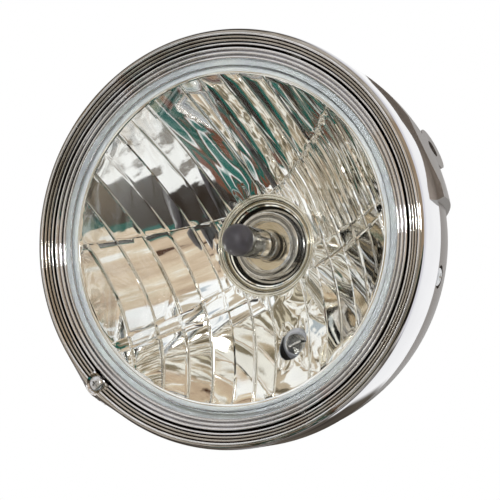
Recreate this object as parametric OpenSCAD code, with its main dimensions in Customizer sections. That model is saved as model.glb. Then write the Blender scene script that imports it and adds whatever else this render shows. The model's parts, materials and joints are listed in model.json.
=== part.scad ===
// Round motorcycle headlight: a chrome rim and a bowl shaped shell round a clear lens unit.
// The lamp looks along -Y and +Z is up. The origin is the middle of the two bracket bolt holes.
// Depths, named with _t or t, are measured backwards along the lamp's axis from the face of
// the dark groove between the two chrome rings. Angles run from the viewer's right, upwards.

/* [Main sizes] */
// Width of the chrome rim beyond the lens's edge
rim_band = 12; // [11.5:0.25:14]
// Distance from the bracket bolts forward to the groove's face
groove_y = 45; // [42:0.5:48]
// Depth of the groove's face to the back of the shell
shell_back_t = 124; // [118:1:135]
// Outer diameter of the lens
lens_d = 178; // [176:0.2:178.6]

/* [Outer rim] */
// Sheet thickness of the outer rim
rim_wall = 1.2; // [1:0.1:1.4]
// Depth of the rim's back edge
rim_back_t = 24; // [23:0.5:26]
// Width of the dark groove between outer rim and inner ring
groove_w = 0.8; // [0.7:0.1:1]
// Depth of the outer rim's inward flange
rim_flange_t = 6; // [5:0.5:6]
// Number of fine beads on the outer rim's face
rim_beads = 4; // [3:1:4]
// Step forward from one bead to the next
bead_rise = 0.85; // [0.7:0.05:0.95]

/* [Inner ring] */
// Sheet thickness of the inner ring
ring_wall = 1.2; // [1:0.1:1.3]
// Depth of the inner ring's back edge
ring_back_t = 17; // [16:0.5:17.5]
// Width of the inner ring's front face
ring_face_w = 5.5; // [5:0.1:5.8]
// Step back from one bead of the inner ring to the next
ring_bead_drop = 0.7; // [0.5:0.05:0.8]

/* [Lens] */
// Thickness of the lens glass
lens_wall = 3; // [2.5:0.1:3.2]
// Thickness of the lens flange under the inner ring
lens_flange = 3; // [2.5:0.1:3.5]
// Radius of the rounding between the lens skirt and its dome
lens_shoulder = 6.5; // [5.5:0.5:7.5]
// How far the lens dome bulges ahead of its shoulder
lens_bulge = 6; // [5:0.5:8]
// Clearance between the lens skirt and the inner ring's lip
lens_gap = 0.4; // [0.3:0.1:0.6]
// Thickness of the flat seal behind the lens flange
gasket_h = 1; // [0.8:0.1:1.4]

/* [Reflector] */
// Distance from the lens's edge in to the mirror's mouth
mouth_inset = 9; // [8.5:0.25:10]
// Focal length of the mirror
focal = 27.7; // [27:0.1:28.4]
// Axial wall thickness of the bowl
bowl_wall = 2.8; // [2.4:0.1:3.4]
// Thickness of the reflector's flange
bowl_flange = 2.5; // [2:0.1:3]
// Radial clearance between the reflector's flange and the inner ring
unit_gap = 0.3; // [0.2:0.05:0.5]
// Width of one vertical flute of the mirror
flute_w = 10.15; // [10.05:0.05:10.6]
// How far a flute bulges from the bowl
flute_sag = 0.45; // [0.2:0.05:0.6]
// Height of the steps between neighbouring fields
field_step = 0.35; // [0.1:0.05:0.5]

/* [Main bulb] */
// Diameter of the bulb hole in the reflector
bulb_hole_d = 38.5; // [38.2:0.1:39]
// Radius of the bulb's glass
bulb_r = 8; // [7.6:0.1:8.5]
// Length of the glass ahead of the bulb's flange
bulb_len = 49.5; // [47:0.5:52]
// Length of the dark cap painted on the glass
bulb_cap_len = 12; // [10:0.5:14]
// Radius of the bulb's mounting flange
bulb_flange_r = 21.5; // [21:0.1:22]
// Thickness of the bulb's mounting flange
bulb_flange = 1.2; // [1:0.1:1.5]

/* [Side lamp] */
// Height of the side lamp below the axis
side_lamp_z = 56; // [54:0.5:58]
// Diameter of the side lamp's hole in the mirror
side_hole_d = 16; // [15.6:0.1:17]
// Radius of the side lamp's glass
side_bulb_r = 5; // [4.7:0.1:5.2]

/* [Shell] */
// Sheet thickness of the shell
shell_wall = 1.2; // [1:0.1:1.5]
// Radial clearance between the shell and the rim round it
shell_gap = 0.3; // [0.2:0.05:0.4]
// Depth of the shell's front edge inside the rim
shell_front_t = 18; // [18:0.25:19]
// Depth where the shell starts to curve in
shell_curve_t = 30; // [28:0.5:31]
// Height of each bracket pad's flat face above the shell
pad_rise = 2; // [1.5:0.1:2.5]
// Diameter of the bracket bolt hole in the shell
bolt_hole_d = 8.4; // [8.2:0.1:9]
// Diameter of the bracket nut's tapped hole
bolt_tap_d = 6.8; // [6.6:0.1:7]
// Diameter of the cable hole in the shell
cable_hole_d = 26; // [24:0.5:28]
// Diameter of the passage through the cable grommet
cable_bore_d = 16; // [14:0.5:17]

/* [Rim screws] */
// Angle of each rim screw below the horizontal
rim_screw_angle = 36.5; // [34:0.5:38]
// Depth of the rim screws
rim_screw_t = 34; // [33:0.5:35]
// Radius of the rim screw's head
rim_screw_head_r = 4.6; // [4.2:0.1:4.8]
// Radius of the rim screw's shank
rim_screw_r = 2.05; // [1.9:0.05:2.2]

/* [Beam adjuster] */
// Distance from the dark groove out to the adjuster screw
adjuster_offset = 4; // [3.8:0.1:4.3]
// Angle of the adjuster screw round the rim
adjuster_angle = 201.5; // [200:0.5:204]
// Radius of the adjuster screw's head
adjuster_head_r = 3.75; // [3.5:0.05:3.9]
// Radius of the adjuster screw's shank
adjuster_screw_r = 2; // [1.8:0.05:2.05]
// Radial play of the nut round the screw, for the swing of the beam unit
adjuster_play = 0.4; // [0.38:0.01:0.5]
// Depth of the axis that the beam unit swings about
pivot_t = 10; // [9.5:0.25:10.5]
// Radius of the pivot pins
pivot_r = 2.5; // [2.2:0.1:2.7]
// Radial running clearance round the pivot pins
pivot_fit = 0.06; // [0.04:0.01:0.08]

/* [Hidden] */

// Roundness of the turned faces
turn_fn = 144;
// Two flat faces that meet are drawn this much past each other only inside a cut
cut = 1;
// Distance kept between pieces that face each other but do not touch
face_gap = 0.3;

lens_r = lens_d / 2;
rim_r = lens_r + rim_band;
rim_inner_r = rim_r - rim_wall;
mouth_r = lens_r - mouth_inset;
flange_r = lens_r + 1.4;
ring_in_r = flange_r + unit_gap;
ring_r = ring_in_r + ring_wall;
groove_r = ring_r + groove_w;

// Outer rim: half round beads that climb forward from the groove to the shoulder
bead_r = 0.6;
bead_pitch = 6 / rim_beads;
shoulder_r = groove_r + 5.85;
shoulder_front_t = bead_r - bead_rise * (rim_beads - 1);
shoulder_t = 2.2;

// Inner ring: three beads that step back towards the lens
ring_lip_r = ring_r - ring_face_w;
ring_bead_r = 0.7;
ring_lip_t = 4;

// Lens unit, from the lip backwards
skirt_r = ring_lip_r - lens_gap;
lens_back_t = ring_lip_t + lens_flange;
gasket_back_t = lens_back_t + gasket_h;
flange_back_t = gasket_back_t + bowl_flange;
mouth_t = 5;
mouth_lip_r = mouth_r + 2.2;
bowl_depth = mouth_r * mouth_r / (4 * focal);
neck_r = 30;
neck_flat_t = mouth_t + bowl_depth - 5.56;
seat_t = neck_flat_t + 6.3;
neck_hole_r = 24.5;
bulb_hole_r = bulb_hole_d / 2;

// Mirror fields: four rows that fan out from the bulb, cut into upright flutes
edge_half = 0.2;
flute_cuts = 4;
flute_count = 8;
// Last upright edge line inside the mirror's round outline, and the least height of a field there
mirror_end = mouth_r - 0.6;
least_row = 0.9;
field_rows = [5, 1, 4, 5];
fan = 0.165;

// Shell
shell_r = rim_inner_r - shell_gap;
shell_in_r = shell_r - shell_wall;
dome_len = shell_back_t - shell_curve_t + 3;
pad_face_x = shell_r + pad_rise;
pad_shift = [3.7, -7, -4];
pad_half = 28;
pad_top = 72;
pad_back_t = 78;
pad_spot_r = 13;
pad_boss_r = 10.5;
pad_boss_h = 6.5;
bracket_nut_r = 8.5;
bracket_nut_h = 7.5;
cable_r = cable_hole_d / 2;

// Rim screws
dimple_r = rim_screw_head_r + 1;
dimple_floor_r = shell_r - 1.9;
dimple_back_r = dimple_floor_r - shell_wall;
tab_half = 9;
tab_r = dimple_back_r - face_gap;
tab_wall = 1.4;
tab_nut_r = 5;
tab_nut_h = 3;

// Beam adjuster
pad_r = adjuster_head_r + 2.7;
recess_r = adjuster_head_r + 1.15;
recess_t = -0.4;
recess_floor = 1.3;
bulge_end_t = 17;
lug_t = 10;
lug_wall = 1.4;
lug_r = 4.6;
nut_bore_r = adjuster_screw_r + adjuster_play;
nut_flange_r = 4.2;
nut_barrel_r = 3.1;
adjuster_r = groove_r + adjuster_offset;
adjuster_x = adjuster_r * cos(adjuster_angle);
adjuster_z = adjuster_r * sin(adjuster_angle);

// Pivots
plate_r = rim_inner_r - 4.6;
plate_wall = 1.4;

// Bulb
bulb_tip_t = seat_t - bulb_len;
bulb_glass_wall = 1;
shield_r = 4.4;
collar_r = 17.6;
collar_front_t = seat_t - 5.5;
dish_r = 12.8;
dish_t = seat_t - 1.5;
skirt_back_t = seat_t + 12;
skirt_tube_r = 13.5;
insulator_h = 4;

// Wires in the bulb, and its two filaments: height, front depth and back depth
wire_r = 0.35;
coil_r = 0.7;
support_x = 5.4;
shield_z = -0.8;
shield_back_t = seat_t - 26.5;
high_filament = [0.3, seat_t - 25.5, seat_t - 20.5];
dip_filament = [shield_z, seat_t - 33, seat_t - 28];

// Screw of the bulb's clip
clip_screw_z = 23.85;
clip_screw_r = 1.5;
clip_screw_len = 2.8;
clip_hole_r = clip_screw_r + 0.05;
clip_wire = 1.5;

// Side lamp
side_hole_r = side_hole_d / 2;
side_seat_t = bowl_t(pow(side_lamp_z - side_hole_r, 2)) + bowl_wall + 1.23;
side_post_x = 1.6;

// Points of an arc round a centre, from angle a to angle b
function arc(centre, r, a, b, n) =
    [for (i = [0:n]) let (q = a + (b - a) * i / n) centre + r * [cos(q), sin(q)]];

// Depth of the plain bowl at a squared distance from the axis
function bowl_t(rr) = mouth_t + (mouth_r * mouth_r - rr) / (4 * focal);

// Turns a profile of [radius, depth] points round the lamp's axis
module lathe(profile) {
    translate([0, -groove_y, 0]) rotate([-90, 0, 0])
        rotate_extrude($fn = turn_fn) polygon(profile);
}

// A round bar along the lamp's axis between two depths, at a place across the axis
module bar(r, t0, t1, x = 0, z = 0, fn = 48) {
    translate([x, t0 - groove_y, z]) rotate([-90, 0, 0]) cylinder(r = r, h = t1 - t0, $fn = fn);
}

// Places a child whose +Z points outwards at an angle round the axis and at a depth
module spoke(angle, t) {
    translate([0, t - groove_y, 0]) rotate([0, 90 - angle, 0]) children();
}

// A block along the lamp's axis: x and z span, and two depths
module slab(x0, x1, z0, z1, t0, t1) {
    translate([x0, t0 - groove_y, z0]) cube([x1 - x0, t1 - t0, z1 - z0]);
}

// Outer rim

function bead_outline(r0, t0, i) =
    arc([r0 + bead_pitch * (i + 0.5) - 0.15, t0 + bead_r - bead_rise * i], bead_r, 180, 360, 6);

function rim_face() = concat(
    [for (i = [0:rim_beads - 1]) each bead_outline(groove_r + 0.15, 0, i)],
    [for (i = [1:6]) let (q = 15 * i)
        [shoulder_r + (rim_r - shoulder_r) * sin(q),
         shoulder_t - (shoulder_t - shoulder_front_t) * cos(q)]]
);

module rim_sheet() {
    lathe(concat(
        [[groove_r, rim_flange_t], [groove_r, bead_r]],
        rim_face(),
        [[rim_r, rim_back_t], [rim_inner_r, rim_back_t], [rim_inner_r, shoulder_t + 1],
         [rim_inner_r - 0.7, shoulder_t - 1], [shoulder_r - 1.2, shoulder_front_t + 1.5],
         [groove_r + 1.5, bead_r + 1], [groove_r + rim_wall, bead_r + 1.6],
         [groove_r + rim_wall, rim_flange_t]]
    ));
}

// Sector of the adjuster's bulge that lies outside the rim's own wall
module adjuster_bulge() {
    difference() {
        bar(pad_r, shoulder_front_t + 0.8, bulge_end_t, adjuster_x, adjuster_z);
        bar(rim_inner_r, recess_t + recess_floor, rim_back_t, 0, 0, turn_fn);
        bar(groove_r, -10, rim_back_t, 0, 0, turn_fn);
        bar(pad_r - rim_wall, recess_t + recess_floor, bulge_end_t - rim_wall, adjuster_x, adjuster_z);
    }
}

module outer_rim() color([0.78, 0.78, 0.8]) {
    difference() {
        union() {
            rim_sheet();
            adjuster_bulge();
        }
        bar(recess_r, -10, recess_t, adjuster_x, adjuster_z);
        bar(pad_r - rim_wall, recess_t + recess_floor, bulge_end_t - rim_wall, adjuster_x, adjuster_z);
        bar(adjuster_screw_r + 0.3, -10, 5, adjuster_x, adjuster_z);
    }
}

// Shell

function dome_profile(r, back_t, len) = concat(
    [[0, shell_front_t], [r, shell_front_t]],
    [for (i = [0:24]) let (q = 3.1 * i, t = shell_curve_t + len * sin(q)) if (t < back_t) [r * cos(q), t]],
    [let (s = (back_t - shell_curve_t) / len) [r * sqrt(1 - s * s), back_t], [0, back_t]]
);

module dome_outer() lathe(dome_profile(shell_r, shell_back_t, dome_len));
module dome_inner() {
    lathe(dome_profile(shell_in_r, shell_back_t - shell_wall, dome_len - shell_wall));
    bar(shell_in_r, shell_front_t - cut, shell_front_t + cut, 0, 0, turn_fn);
}

// Window in which the shifted dome stands out as a bracket pad, inset by a wall for the hollow behind it
module pad_window(side, inset) {
    x1 = pad_face_x - inset;
    translate([side > 0 ? 0 : -x1, 0, 0])
        slab(0, x1, inset - pad_half, pad_top - inset, rim_back_t + face_gap + inset, pad_back_t - inset);
}

// The same dome moved outwards, down and forwards, so that it blends in above and behind
module bracket_pad(side) {
    intersection() {
        translate([side * pad_shift[0], pad_shift[1], pad_shift[2]]) dome_outer();
        pad_window(side, 0);
    }
}

module bracket_hollow(side) {
    intersection() {
        translate([side * pad_shift[0], pad_shift[1], pad_shift[2]]) dome_inner();
        pad_window(side, shell_wall);
    }
}

module bolt_axis(side) rotate([0, side * 90, 0]) children();

module rim_screw_dimple(angle) {
    spoke(angle, rim_screw_t) translate([0, 0, dimple_back_r])
        cylinder(r = dimple_r + shell_wall, h = shell_r - shell_wall / 2 - dimple_back_r, $fn = 48);
}

module rim_screw_cut(angle) {
    spoke(angle, rim_screw_t) {
        translate([0, 0, dimple_floor_r]) cylinder(r = dimple_r, h = 8, $fn = 48);
        translate([0, 0, dimple_back_r - cut]) cylinder(r = 2.7, h = 8, $fn = 48);
    }
}

module shell() color([0.45, 0.42, 0.4]) {
    difference() {
        union() {
            difference() {
                union() {
                    dome_outer();
                    for (side = [-1, 1]) bracket_pad(side);
                }
                dome_inner();
                for (side = [-1, 1]) bracket_hollow(side);
            }
            for (side = [-1, 1])
                bolt_axis(side) translate([0, 0, pad_face_x - pad_boss_h])
                    cylinder(r = pad_boss_r, h = pad_boss_h, $fn = 64);
            for (a = [-rim_screw_angle, 180 + rim_screw_angle]) rim_screw_dimple(a);
        }
        for (side = [-1, 1])
            bolt_axis(side) {
                translate([0, 0, pad_face_x]) cylinder(r = pad_spot_r, h = 10, $fn = 64);
                translate([0, 0, pad_face_x - 20]) cylinder(r = bolt_hole_d / 2, h = 30, $fn = 48);
            }
        for (a = [-rim_screw_angle, 180 + rim_screw_angle]) rim_screw_cut(a);
        bar(cable_r, shell_back_t - 10, shell_back_t + 10);
    }
}

module bracket_nut(side) color([0.7, 0.68, 0.6]) {
    bolt_axis(side) difference() {
        union() {
            translate([0, 0, pad_face_x - pad_boss_h - 1.5])
                cylinder(r = bracket_nut_r + 1.5, h = 1.5, $fn = 48);
            translate([0, 0, pad_face_x - pad_boss_h - bracket_nut_h])
                cylinder(r = bracket_nut_r - 1.5, h = bracket_nut_h - 1, $fn = 6);
        }
        translate([0, 0, pad_face_x - 20]) cylinder(r = bolt_tap_d / 2, h = 30, $fn = 48);
    }
}

module cable_grommet() color([0.1, 0.1, 0.1]) {
    lathe([
        [cable_bore_d / 2, shell_back_t - shell_wall - 2.5], [cable_r + 1.5, shell_back_t - shell_wall - 2.5],
        [cable_r + 2.6, shell_back_t - shell_wall], [cable_r - 0.05, shell_back_t - shell_wall],
        [cable_r - 0.05, shell_back_t], [cable_r + 3.5, shell_back_t],
        [cable_r + 2.8, shell_back_t + 2], [cable_r - 1, shell_back_t + 3.5],
        [cable_bore_d / 2 + 1.6, shell_back_t + 7], [cable_bore_d / 2, shell_back_t + 7]
    ]);
}

module rim_tab(angle) color([0.62, 0.62, 0.6]) {
    wall_r = rim_inner_r - 0.05;
    difference() {
        union() {
            intersection() {
                lathe([
                    [wall_r, 8], [wall_r, 16.8], [tab_r + 1.5, 18.6], [tab_r, 25], [tab_r, rim_screw_t + 7],
                    [tab_r - tab_wall, rim_screw_t + 7], [tab_r - tab_wall, 24.5], [tab_r + 0.2, 17.6],
                    [wall_r - tab_wall, 15.8], [wall_r - tab_wall, 8]
                ]);
                spoke(angle, 0) translate([-tab_half, 0, 0]) cube([2 * tab_half, 60, 120]);
            }
            spoke(angle, rim_screw_t) translate([0, 0, tab_r - tab_wall - tab_nut_h])
                cylinder(r = tab_nut_r, h = tab_nut_h + 0.2, $fn = 48);
        }
        spoke(angle, rim_screw_t) translate([0, 0, tab_r - 12])
            cylinder(r = rim_screw_r + 0.05, h = 20, $fn = 48);
    }
}

module rim_screw(angle) color([0.72, 0.72, 0.72]) {
    spoke(angle, rim_screw_t) difference() {
        union() {
            translate([0, 0, dimple_floor_r]) cylinder(r = rim_screw_head_r, h = 1.2, $fn = 48);
            translate([0, 0, dimple_floor_r + 1.2])
                cylinder(r1 = rim_screw_head_r, r2 = rim_screw_head_r - 1.4, h = 1, $fn = 48);
            translate([0, 0, tab_r - tab_wall - tab_nut_h - 1.5])
                cylinder(r = rim_screw_r, h = dimple_floor_r - tab_r + tab_wall + tab_nut_h + 1.5, $fn = 48);
        }
        cross_recess(dimple_floor_r + 2.2, 1.4, 2.2);
    }
}

// Cross shaped driver recess, cut down from a height on the local axis
module cross_recess(top, depth, half) {
    for (a = [0, 90]) rotate([0, 0, a])
        translate([-half, -0.45, top - depth]) cube([2 * half, 0.9, depth + cut]);
}

// Pivots of the beam unit

module pivot_side(up) mirror([0, 0, up ? 0 : 1]) children();

module pivot_bracket(up) color([0.62, 0.62, 0.6]) {
    pivot_side(up) difference() {
        intersection() {
            bar(rim_inner_r - 0.05, pivot_t - 3.7, pivot_t + 4, 0, 0, turn_fn);
            slab(-9, 9, plate_r, rim_inner_r, pivot_t - 3.7, pivot_t + 4);
        }
        slab(-7.6, 7.6, plate_r + plate_wall, rim_inner_r + cut, pivot_t - 5, pivot_t + 5);
        translate([0, pivot_t - groove_y, plate_r - cut]) cylinder(r = pivot_r, h = 10, $fn = 48);
    }
}

module pivot_pin(up) color([0.72, 0.72, 0.7]) {
    pivot_side(up) translate([0, pivot_t - groove_y, 0]) {
        translate([0, 0, ring_in_r + 0.15])
            cylinder(r = pivot_r, h = plate_r + plate_wall - ring_in_r - 0.15, $fn = 48);
        translate([0, 0, ring_r + 0.4]) cylinder(r = pivot_r + 1.1, h = plate_r - ring_r - 0.4, $fn = 48);
        translate([0, 0, plate_r + plate_wall]) cylinder(r = pivot_r + 1.3, h = 1.1, $fn = 48);
    }
}

// Beam adjuster

module adjuster_screw() color([0.66, 0.7, 0.7]) {
    head_t = recess_t;
    difference() {
        union() {
            bar(adjuster_screw_r, head_t - 1, bulge_end_t + 0.4, adjuster_x, adjuster_z);
            bar(adjuster_head_r, head_t - 1.3, head_t - 0.05, adjuster_x, adjuster_z);
            translate([adjuster_x, head_t - 1.3 - groove_y, adjuster_z]) rotate([90, 0, 0])
                rotate_extrude($fn = 48) polygon(concat([[0, 0]],
                    [for (i = [0:5]) [adjuster_head_r * cos(15 * i), 1.5 * sin(15 * i)]], [[0, 1.5]]));
        }
        translate([adjuster_x, 0, adjuster_z]) rotate([90, 0, 0]) rotate([0, 0, 20])
            cross_recess(groove_y - head_t + 3, 2, 1.9);
    }
}

module adjuster_clip() color([0.5, 0.5, 0.5]) {
    difference() {
        bar(3.6, recess_t + recess_floor + 0.2, recess_t + recess_floor + 1, adjuster_x, adjuster_z);
        bar(adjuster_screw_r, -5, 20, adjuster_x, adjuster_z);
    }
}

module adjuster_nut() color([0.9, 0.9, 0.86]) {
    difference() {
        union() {
            bar(nut_flange_r, lug_t - 1.7, lug_t, adjuster_x, adjuster_z);
            bar(nut_barrel_r, lug_t - 0.5, lug_t + 3, adjuster_x, adjuster_z);
        }
        bar(nut_bore_r, -5, 30, adjuster_x, adjuster_z);
    }
}

module adjuster_lug() color([0.62, 0.62, 0.6]) {
    difference() {
        union() {
            bar(lug_r, lug_t, lug_t + lug_wall, adjuster_x, adjuster_z);
            spoke(adjuster_angle, lug_t) translate([-lug_r, 0, ring_r - 1])
                cube([2 * lug_r, lug_wall, adjuster_r - ring_r + 1]);
            intersection() {
                lathe([[ring_r, lug_t], [ring_r + 1.2, lug_t], [ring_r + 1.2, ring_back_t], [ring_r, ring_back_t]]);
                spoke(adjuster_angle, 0) translate([-9, 0, 0]) cube([18, 40, 120]);
            }
        }
        bar(ring_r + 0.02, 0, 40, 0, 0, turn_fn);
        bar(nut_barrel_r, 0, 40, adjuster_x, adjuster_z);
    }
}

// Inner ring, lens and seal

function ring_face() = [for (i = [0:2]) each
    arc([ring_r - ring_bead_r - i * (ring_face_w - 2 * ring_bead_r) / 2,
         ring_bead_r + ring_bead_drop * i], ring_bead_r, 360, 180, 6)];

module inner_ring() color([0.8, 0.8, 0.82]) {
    difference() {
        lathe(concat(
            [[ring_in_r, ring_back_t], [ring_r, ring_back_t]],
            ring_face(),
            [[ring_lip_r, ring_lip_t], [ring_in_r, ring_lip_t]]
        ));
        for (up = [true, false])
            pivot_side(up) translate([0, pivot_t - groove_y, 60]) cylinder(r = pivot_r + pivot_fit, h = 40, $fn = 64);
    }
}

// Outline of the lens from the edge of its skirt to its tip, inset by a wall
function lens_outline(inset) = let (
    r = lens_shoulder - inset,
    centre = [skirt_r - lens_shoulder, ring_lip_t - 1],
    base_r = centre[0] + r * cos(60),
    base_t = centre[1] - r * sin(60),
    tip_t = base_t - lens_bulge
) concat(
    arc(centre, r, 0, -60, 6),
    [for (i = [1:11]) let (s = 1 - i / 12) [base_r * s, tip_t + (base_t - tip_t) * s * s]],
    [[0, tip_t]]
);

function reversed(list) = [for (i = [len(list) - 1:-1:0]) list[i]];

module lens() color([0.85, 0.93, 0.97, 0.4]) {
    lathe(concat(
        [[skirt_r - lens_wall, lens_back_t], [lens_r, lens_back_t], [lens_r, ring_lip_t], [skirt_r, ring_lip_t]],
        lens_outline(0),
        reversed(lens_outline(lens_wall))
    ));
}

module lens_gasket() color([0.15, 0.15, 0.15]) {
    lathe([
        [mouth_lip_r + 0.3, lens_back_t], [lens_r, lens_back_t],
        [lens_r, gasket_back_t], [mouth_lip_r + 0.3, gasket_back_t]
    ]);
}

// Reflector

// Edge lines between the rows of fields, from the bottom up, kept inside the mirror's round outline
function row_edge(k, x) = let (
    chord = sqrt(mouth_r * mouth_r - x * x),
    line = [-chord, -21.5 - 0.05 * abs(x), -7 - fan * abs(x), 20.6 + fan * abs(x), chord][k]
) max(-chord + k * least_row, min(chord - (4 - k) * least_row, line));

// The upper and lower middle fields are plain parts of the bowl
function plain_field(c, k) = (c == -1 || c == 0) && (k == 0 || k == 3);

// Bulge of a field across its width: double flutes beside the bulb on one side, single ones elsewhere
function field_bulge(c, k, u) =
    plain_field(c, k) ? 0 :
    (c > 1 && k == 2) ? -0.7 * flute_sag * (1 - cos(720 * u)) / 2 :
    -flute_sag * (k == 1 ? 0.3 : 1) * (1 - (2 * u - 1) * (2 * u - 1));

// Steps between neighbouring fields, which make their edges catch the light
function field_offset(c, k) =
    plain_field(c, k) ? 0 : field_step * ([0.4, -0.5, 0.6, 0][k] + 0.5 * (abs(c + 0.5) % 2 > 1 ? 1 : 0));

function mirror_t(x, z, c, k, u) = max(mouth_t + 0.4,
    min(neck_flat_t, bowl_t(x * x + z * z) + field_bulge(c, k, u) + field_offset(c, k)));
function bowl_back_t(rr) = max(flange_back_t, min(neck_flat_t, bowl_t(rr)) + bowl_wall);

mirror_cols = [for (c = [-flute_count:flute_count - 1]) for (i = [0:flute_cuts]) [c, i / flute_cuts]];
mirror_rows = [for (k = [0:3]) for (i = [0:field_rows[k]]) [k, i / field_rows[k]]];

function col_x(col) = let (x = flute_w * col[0] + edge_half + (flute_w - 2 * edge_half) * col[1])
    max(-mirror_end, min(mirror_end, x));
function row_z(row, x) = let (
    low = row_edge(row[0], x) + (row[0] > 0 ? edge_half : 0),
    high = row_edge(row[0] + 1, x) - (row[0] < 3 ? edge_half : 0)
) low + (high - low) * row[1];

// Section of the mouth lip and the flange, which runs round the outline of the mirror
lip_section = [[mouth_r, mouth_t], [mouth_lip_r, mouth_t], [mouth_lip_r, gasket_back_t],
    [flange_r, gasket_back_t], [flange_r, flange_back_t]];

// The moulded bowl: a fluted front, a plain back, and the lip and flange round its mouth
module mirror_bowl() {
    nc = len(mirror_cols);
    nr = len(mirror_rows);
    n = nc * nr;
    places = [for (col = mirror_cols) for (row = mirror_rows) let (x = col_x(col)) [x, row_z(row, x)]];
    front = [for (c = [0:nc - 1]) for (r = [0:nr - 1]) let (q = places[c * nr + r])
        [q[0], mirror_t(q[0], q[1], mirror_cols[c][0], mirror_rows[r][0], mirror_cols[c][1]) - groove_y, q[1]]];
    back = [for (q = places) [q[0], bowl_back_t(q * q) - groove_y, q[1]]];
    function id(c, r) = c * nr + r;
    outline = concat(
        [for (c = [0:nc - 1]) id(c, 0)], [for (r = [1:nr - 1]) id(nc - 1, r)],
        [for (c = [nc - 2:-1:0]) id(c, nr - 1)], [for (r = [nr - 2:-1:1]) id(0, r)]
    );
    m = len(outline);
    loops = len(lip_section);
    lip = [for (s = lip_section) for (i = outline) let (q = places[i] / norm(places[i]))
        [q[0] * s[0], s[1] - groove_y, q[1] * s[0]]];
    // Index of outline point i on a loop: the front edge, the lip's loops in turn, the back edge
    function on_loop(k, i) = k == 0 ? outline[i] : k > loops ? n + outline[i] : 2 * n + (k - 1) * m + i;
    polyhedron(
        points = concat(front, back, lip),
        faces = concat(
            [for (c = [0:nc - 2]) for (r = [0:nr - 2]) each
                [[id(c, r), id(c + 1, r + 1), id(c, r + 1)], [id(c, r), id(c + 1, r), id(c + 1, r + 1)]]],
            [for (c = [0:nc - 2]) for (r = [0:nr - 2]) each
                [[n + id(c, r), n + id(c, r + 1), n + id(c + 1, r + 1)],
                 [n + id(c, r), n + id(c + 1, r + 1), n + id(c + 1, r)]]],
            [for (k = [0:loops]) for (i = [0:m - 1]) let (j = (i + 1) % m) each
                [[on_loop(k, i), on_loop(k + 1, j), on_loop(k, j)],
                 [on_loop(k, i), on_loop(k + 1, i), on_loop(k + 1, j)]]]
        )
    );
}

module reflector() color([0.75, 0.72, 0.66]) {
    difference() {
        mirror_bowl();
        bar(neck_hole_r, 40, seat_t + 5, 0, 0, 96);
        bar(side_hole_r, 15, seat_t, 0, -side_lamp_z);
    }
}

// Pressed ring in the mirror's neck that the bulb seats in
module bulb_seat() color([0.74, 0.7, 0.55]) {
    spigot_r = neck_hole_r - 0.2;
    difference() {
        lathe(concat(
            [[bulb_hole_r, neck_flat_t + 2.8], [21.8, neck_flat_t + 2.8], [21.8, neck_flat_t + 1.4],
             [spigot_r, neck_flat_t + 1.4], [spigot_r, neck_flat_t + bowl_wall + 0.1]],
            [for (r = [neck_hole_r + 0.7, neck_hole_r + 3, neck_r]) [r, bowl_t(r * r) + bowl_wall + 0.1]],
            [[neck_r, seat_t], [bulb_hole_r, seat_t]]
        ));
        bar(clip_hole_r, seat_t - clip_screw_len - 0.2, seat_t + cut, 0, clip_screw_z, 32);
    }
}

// Spring clips that hold the lens unit in the inner ring
module unit_clips() color([0.6, 0.62, 0.64]) {
    for (a = [45, 135, 225, 315]) intersection() {
        lathe([
            [flange_r - 7, flange_back_t], [flange_r, flange_back_t], [flange_r, ring_back_t],
            [ring_r + face_gap, ring_back_t], [ring_r + face_gap, 12.5], [ring_r + face_gap + 0.8, 12.5],
            [ring_r + face_gap + 0.8, ring_back_t + 0.8], [flange_r - 0.8, ring_back_t + 0.8],
            [flange_r - 0.8, flange_back_t + 0.8], [flange_r - 7, flange_back_t + 0.8]
        ]);
        spoke(a, 0) translate([-5, 0, 0]) cube([10, 40, 120]);
    }
}

// Main bulb

function bulb_outline(r, tip) = concat(
    [for (i = [0:8]) let (q = 90 * i / 8) [r * sin(q), tip + r - r * cos(q)]]
);

module bulb_glass() color([0.9, 0.95, 1, 0.3]) {
    lathe(concat(
        bulb_outline(bulb_r, bulb_tip_t),
        [[bulb_r, dish_t - 4], [4.5, dish_t - 1], [4.5, dish_t], [0, dish_t], [0, dish_t - 3], [3, dish_t - 3.5],
         [bulb_r - bulb_glass_wall, dish_t - 7]],
        reversed(bulb_outline(bulb_r - bulb_glass_wall, bulb_tip_t + bulb_glass_wall))
    ));
}

module bulb_cap() color([0.25, 0.23, 0.26]) {
    cap_r = bulb_r + 0.25;
    lathe(concat(
        bulb_outline(cap_r, bulb_tip_t - 0.25),
        [[cap_r, bulb_tip_t + bulb_cap_len], [bulb_r, bulb_tip_t + bulb_cap_len]],
        reversed(bulb_outline(bulb_r, bulb_tip_t))
    ));
}

module bulb_dip_shield() color([0.7, 0.7, 0.68]) {
    difference() {
        bar(shield_r, seat_t - 36.5, shield_back_t, 0, shield_z);
        bar(shield_r - 0.5, seat_t - 36, shield_back_t + cut, 0, shield_z);
        slab(-10, 10, -1.6, 10, seat_t - 40, seat_t - 20);
    }
}

module bulb_filaments() color([0.6, 0.55, 0.5]) {
    for (f = [high_filament, dip_filament]) bar(coil_r, f[1], f[2], 0, f[0], 24);
}

// Level lead that runs sideways from the middle of the bulb to a support wire
module bulb_lead(x0, x1, z, t) {
    translate([min(x0, x1), t - groove_y, z]) rotate([0, 90, 0])
        cylinder(r = wire_r, h = abs(x1 - x0), $fn = 24);
}

// Upright lead in the middle of the bulb, between two heights
module bulb_drop(z0, z1, t) {
    translate([0, t - groove_y, z0]) cylinder(r = wire_r, h = z1 - z0, $fn = 24);
}

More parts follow.
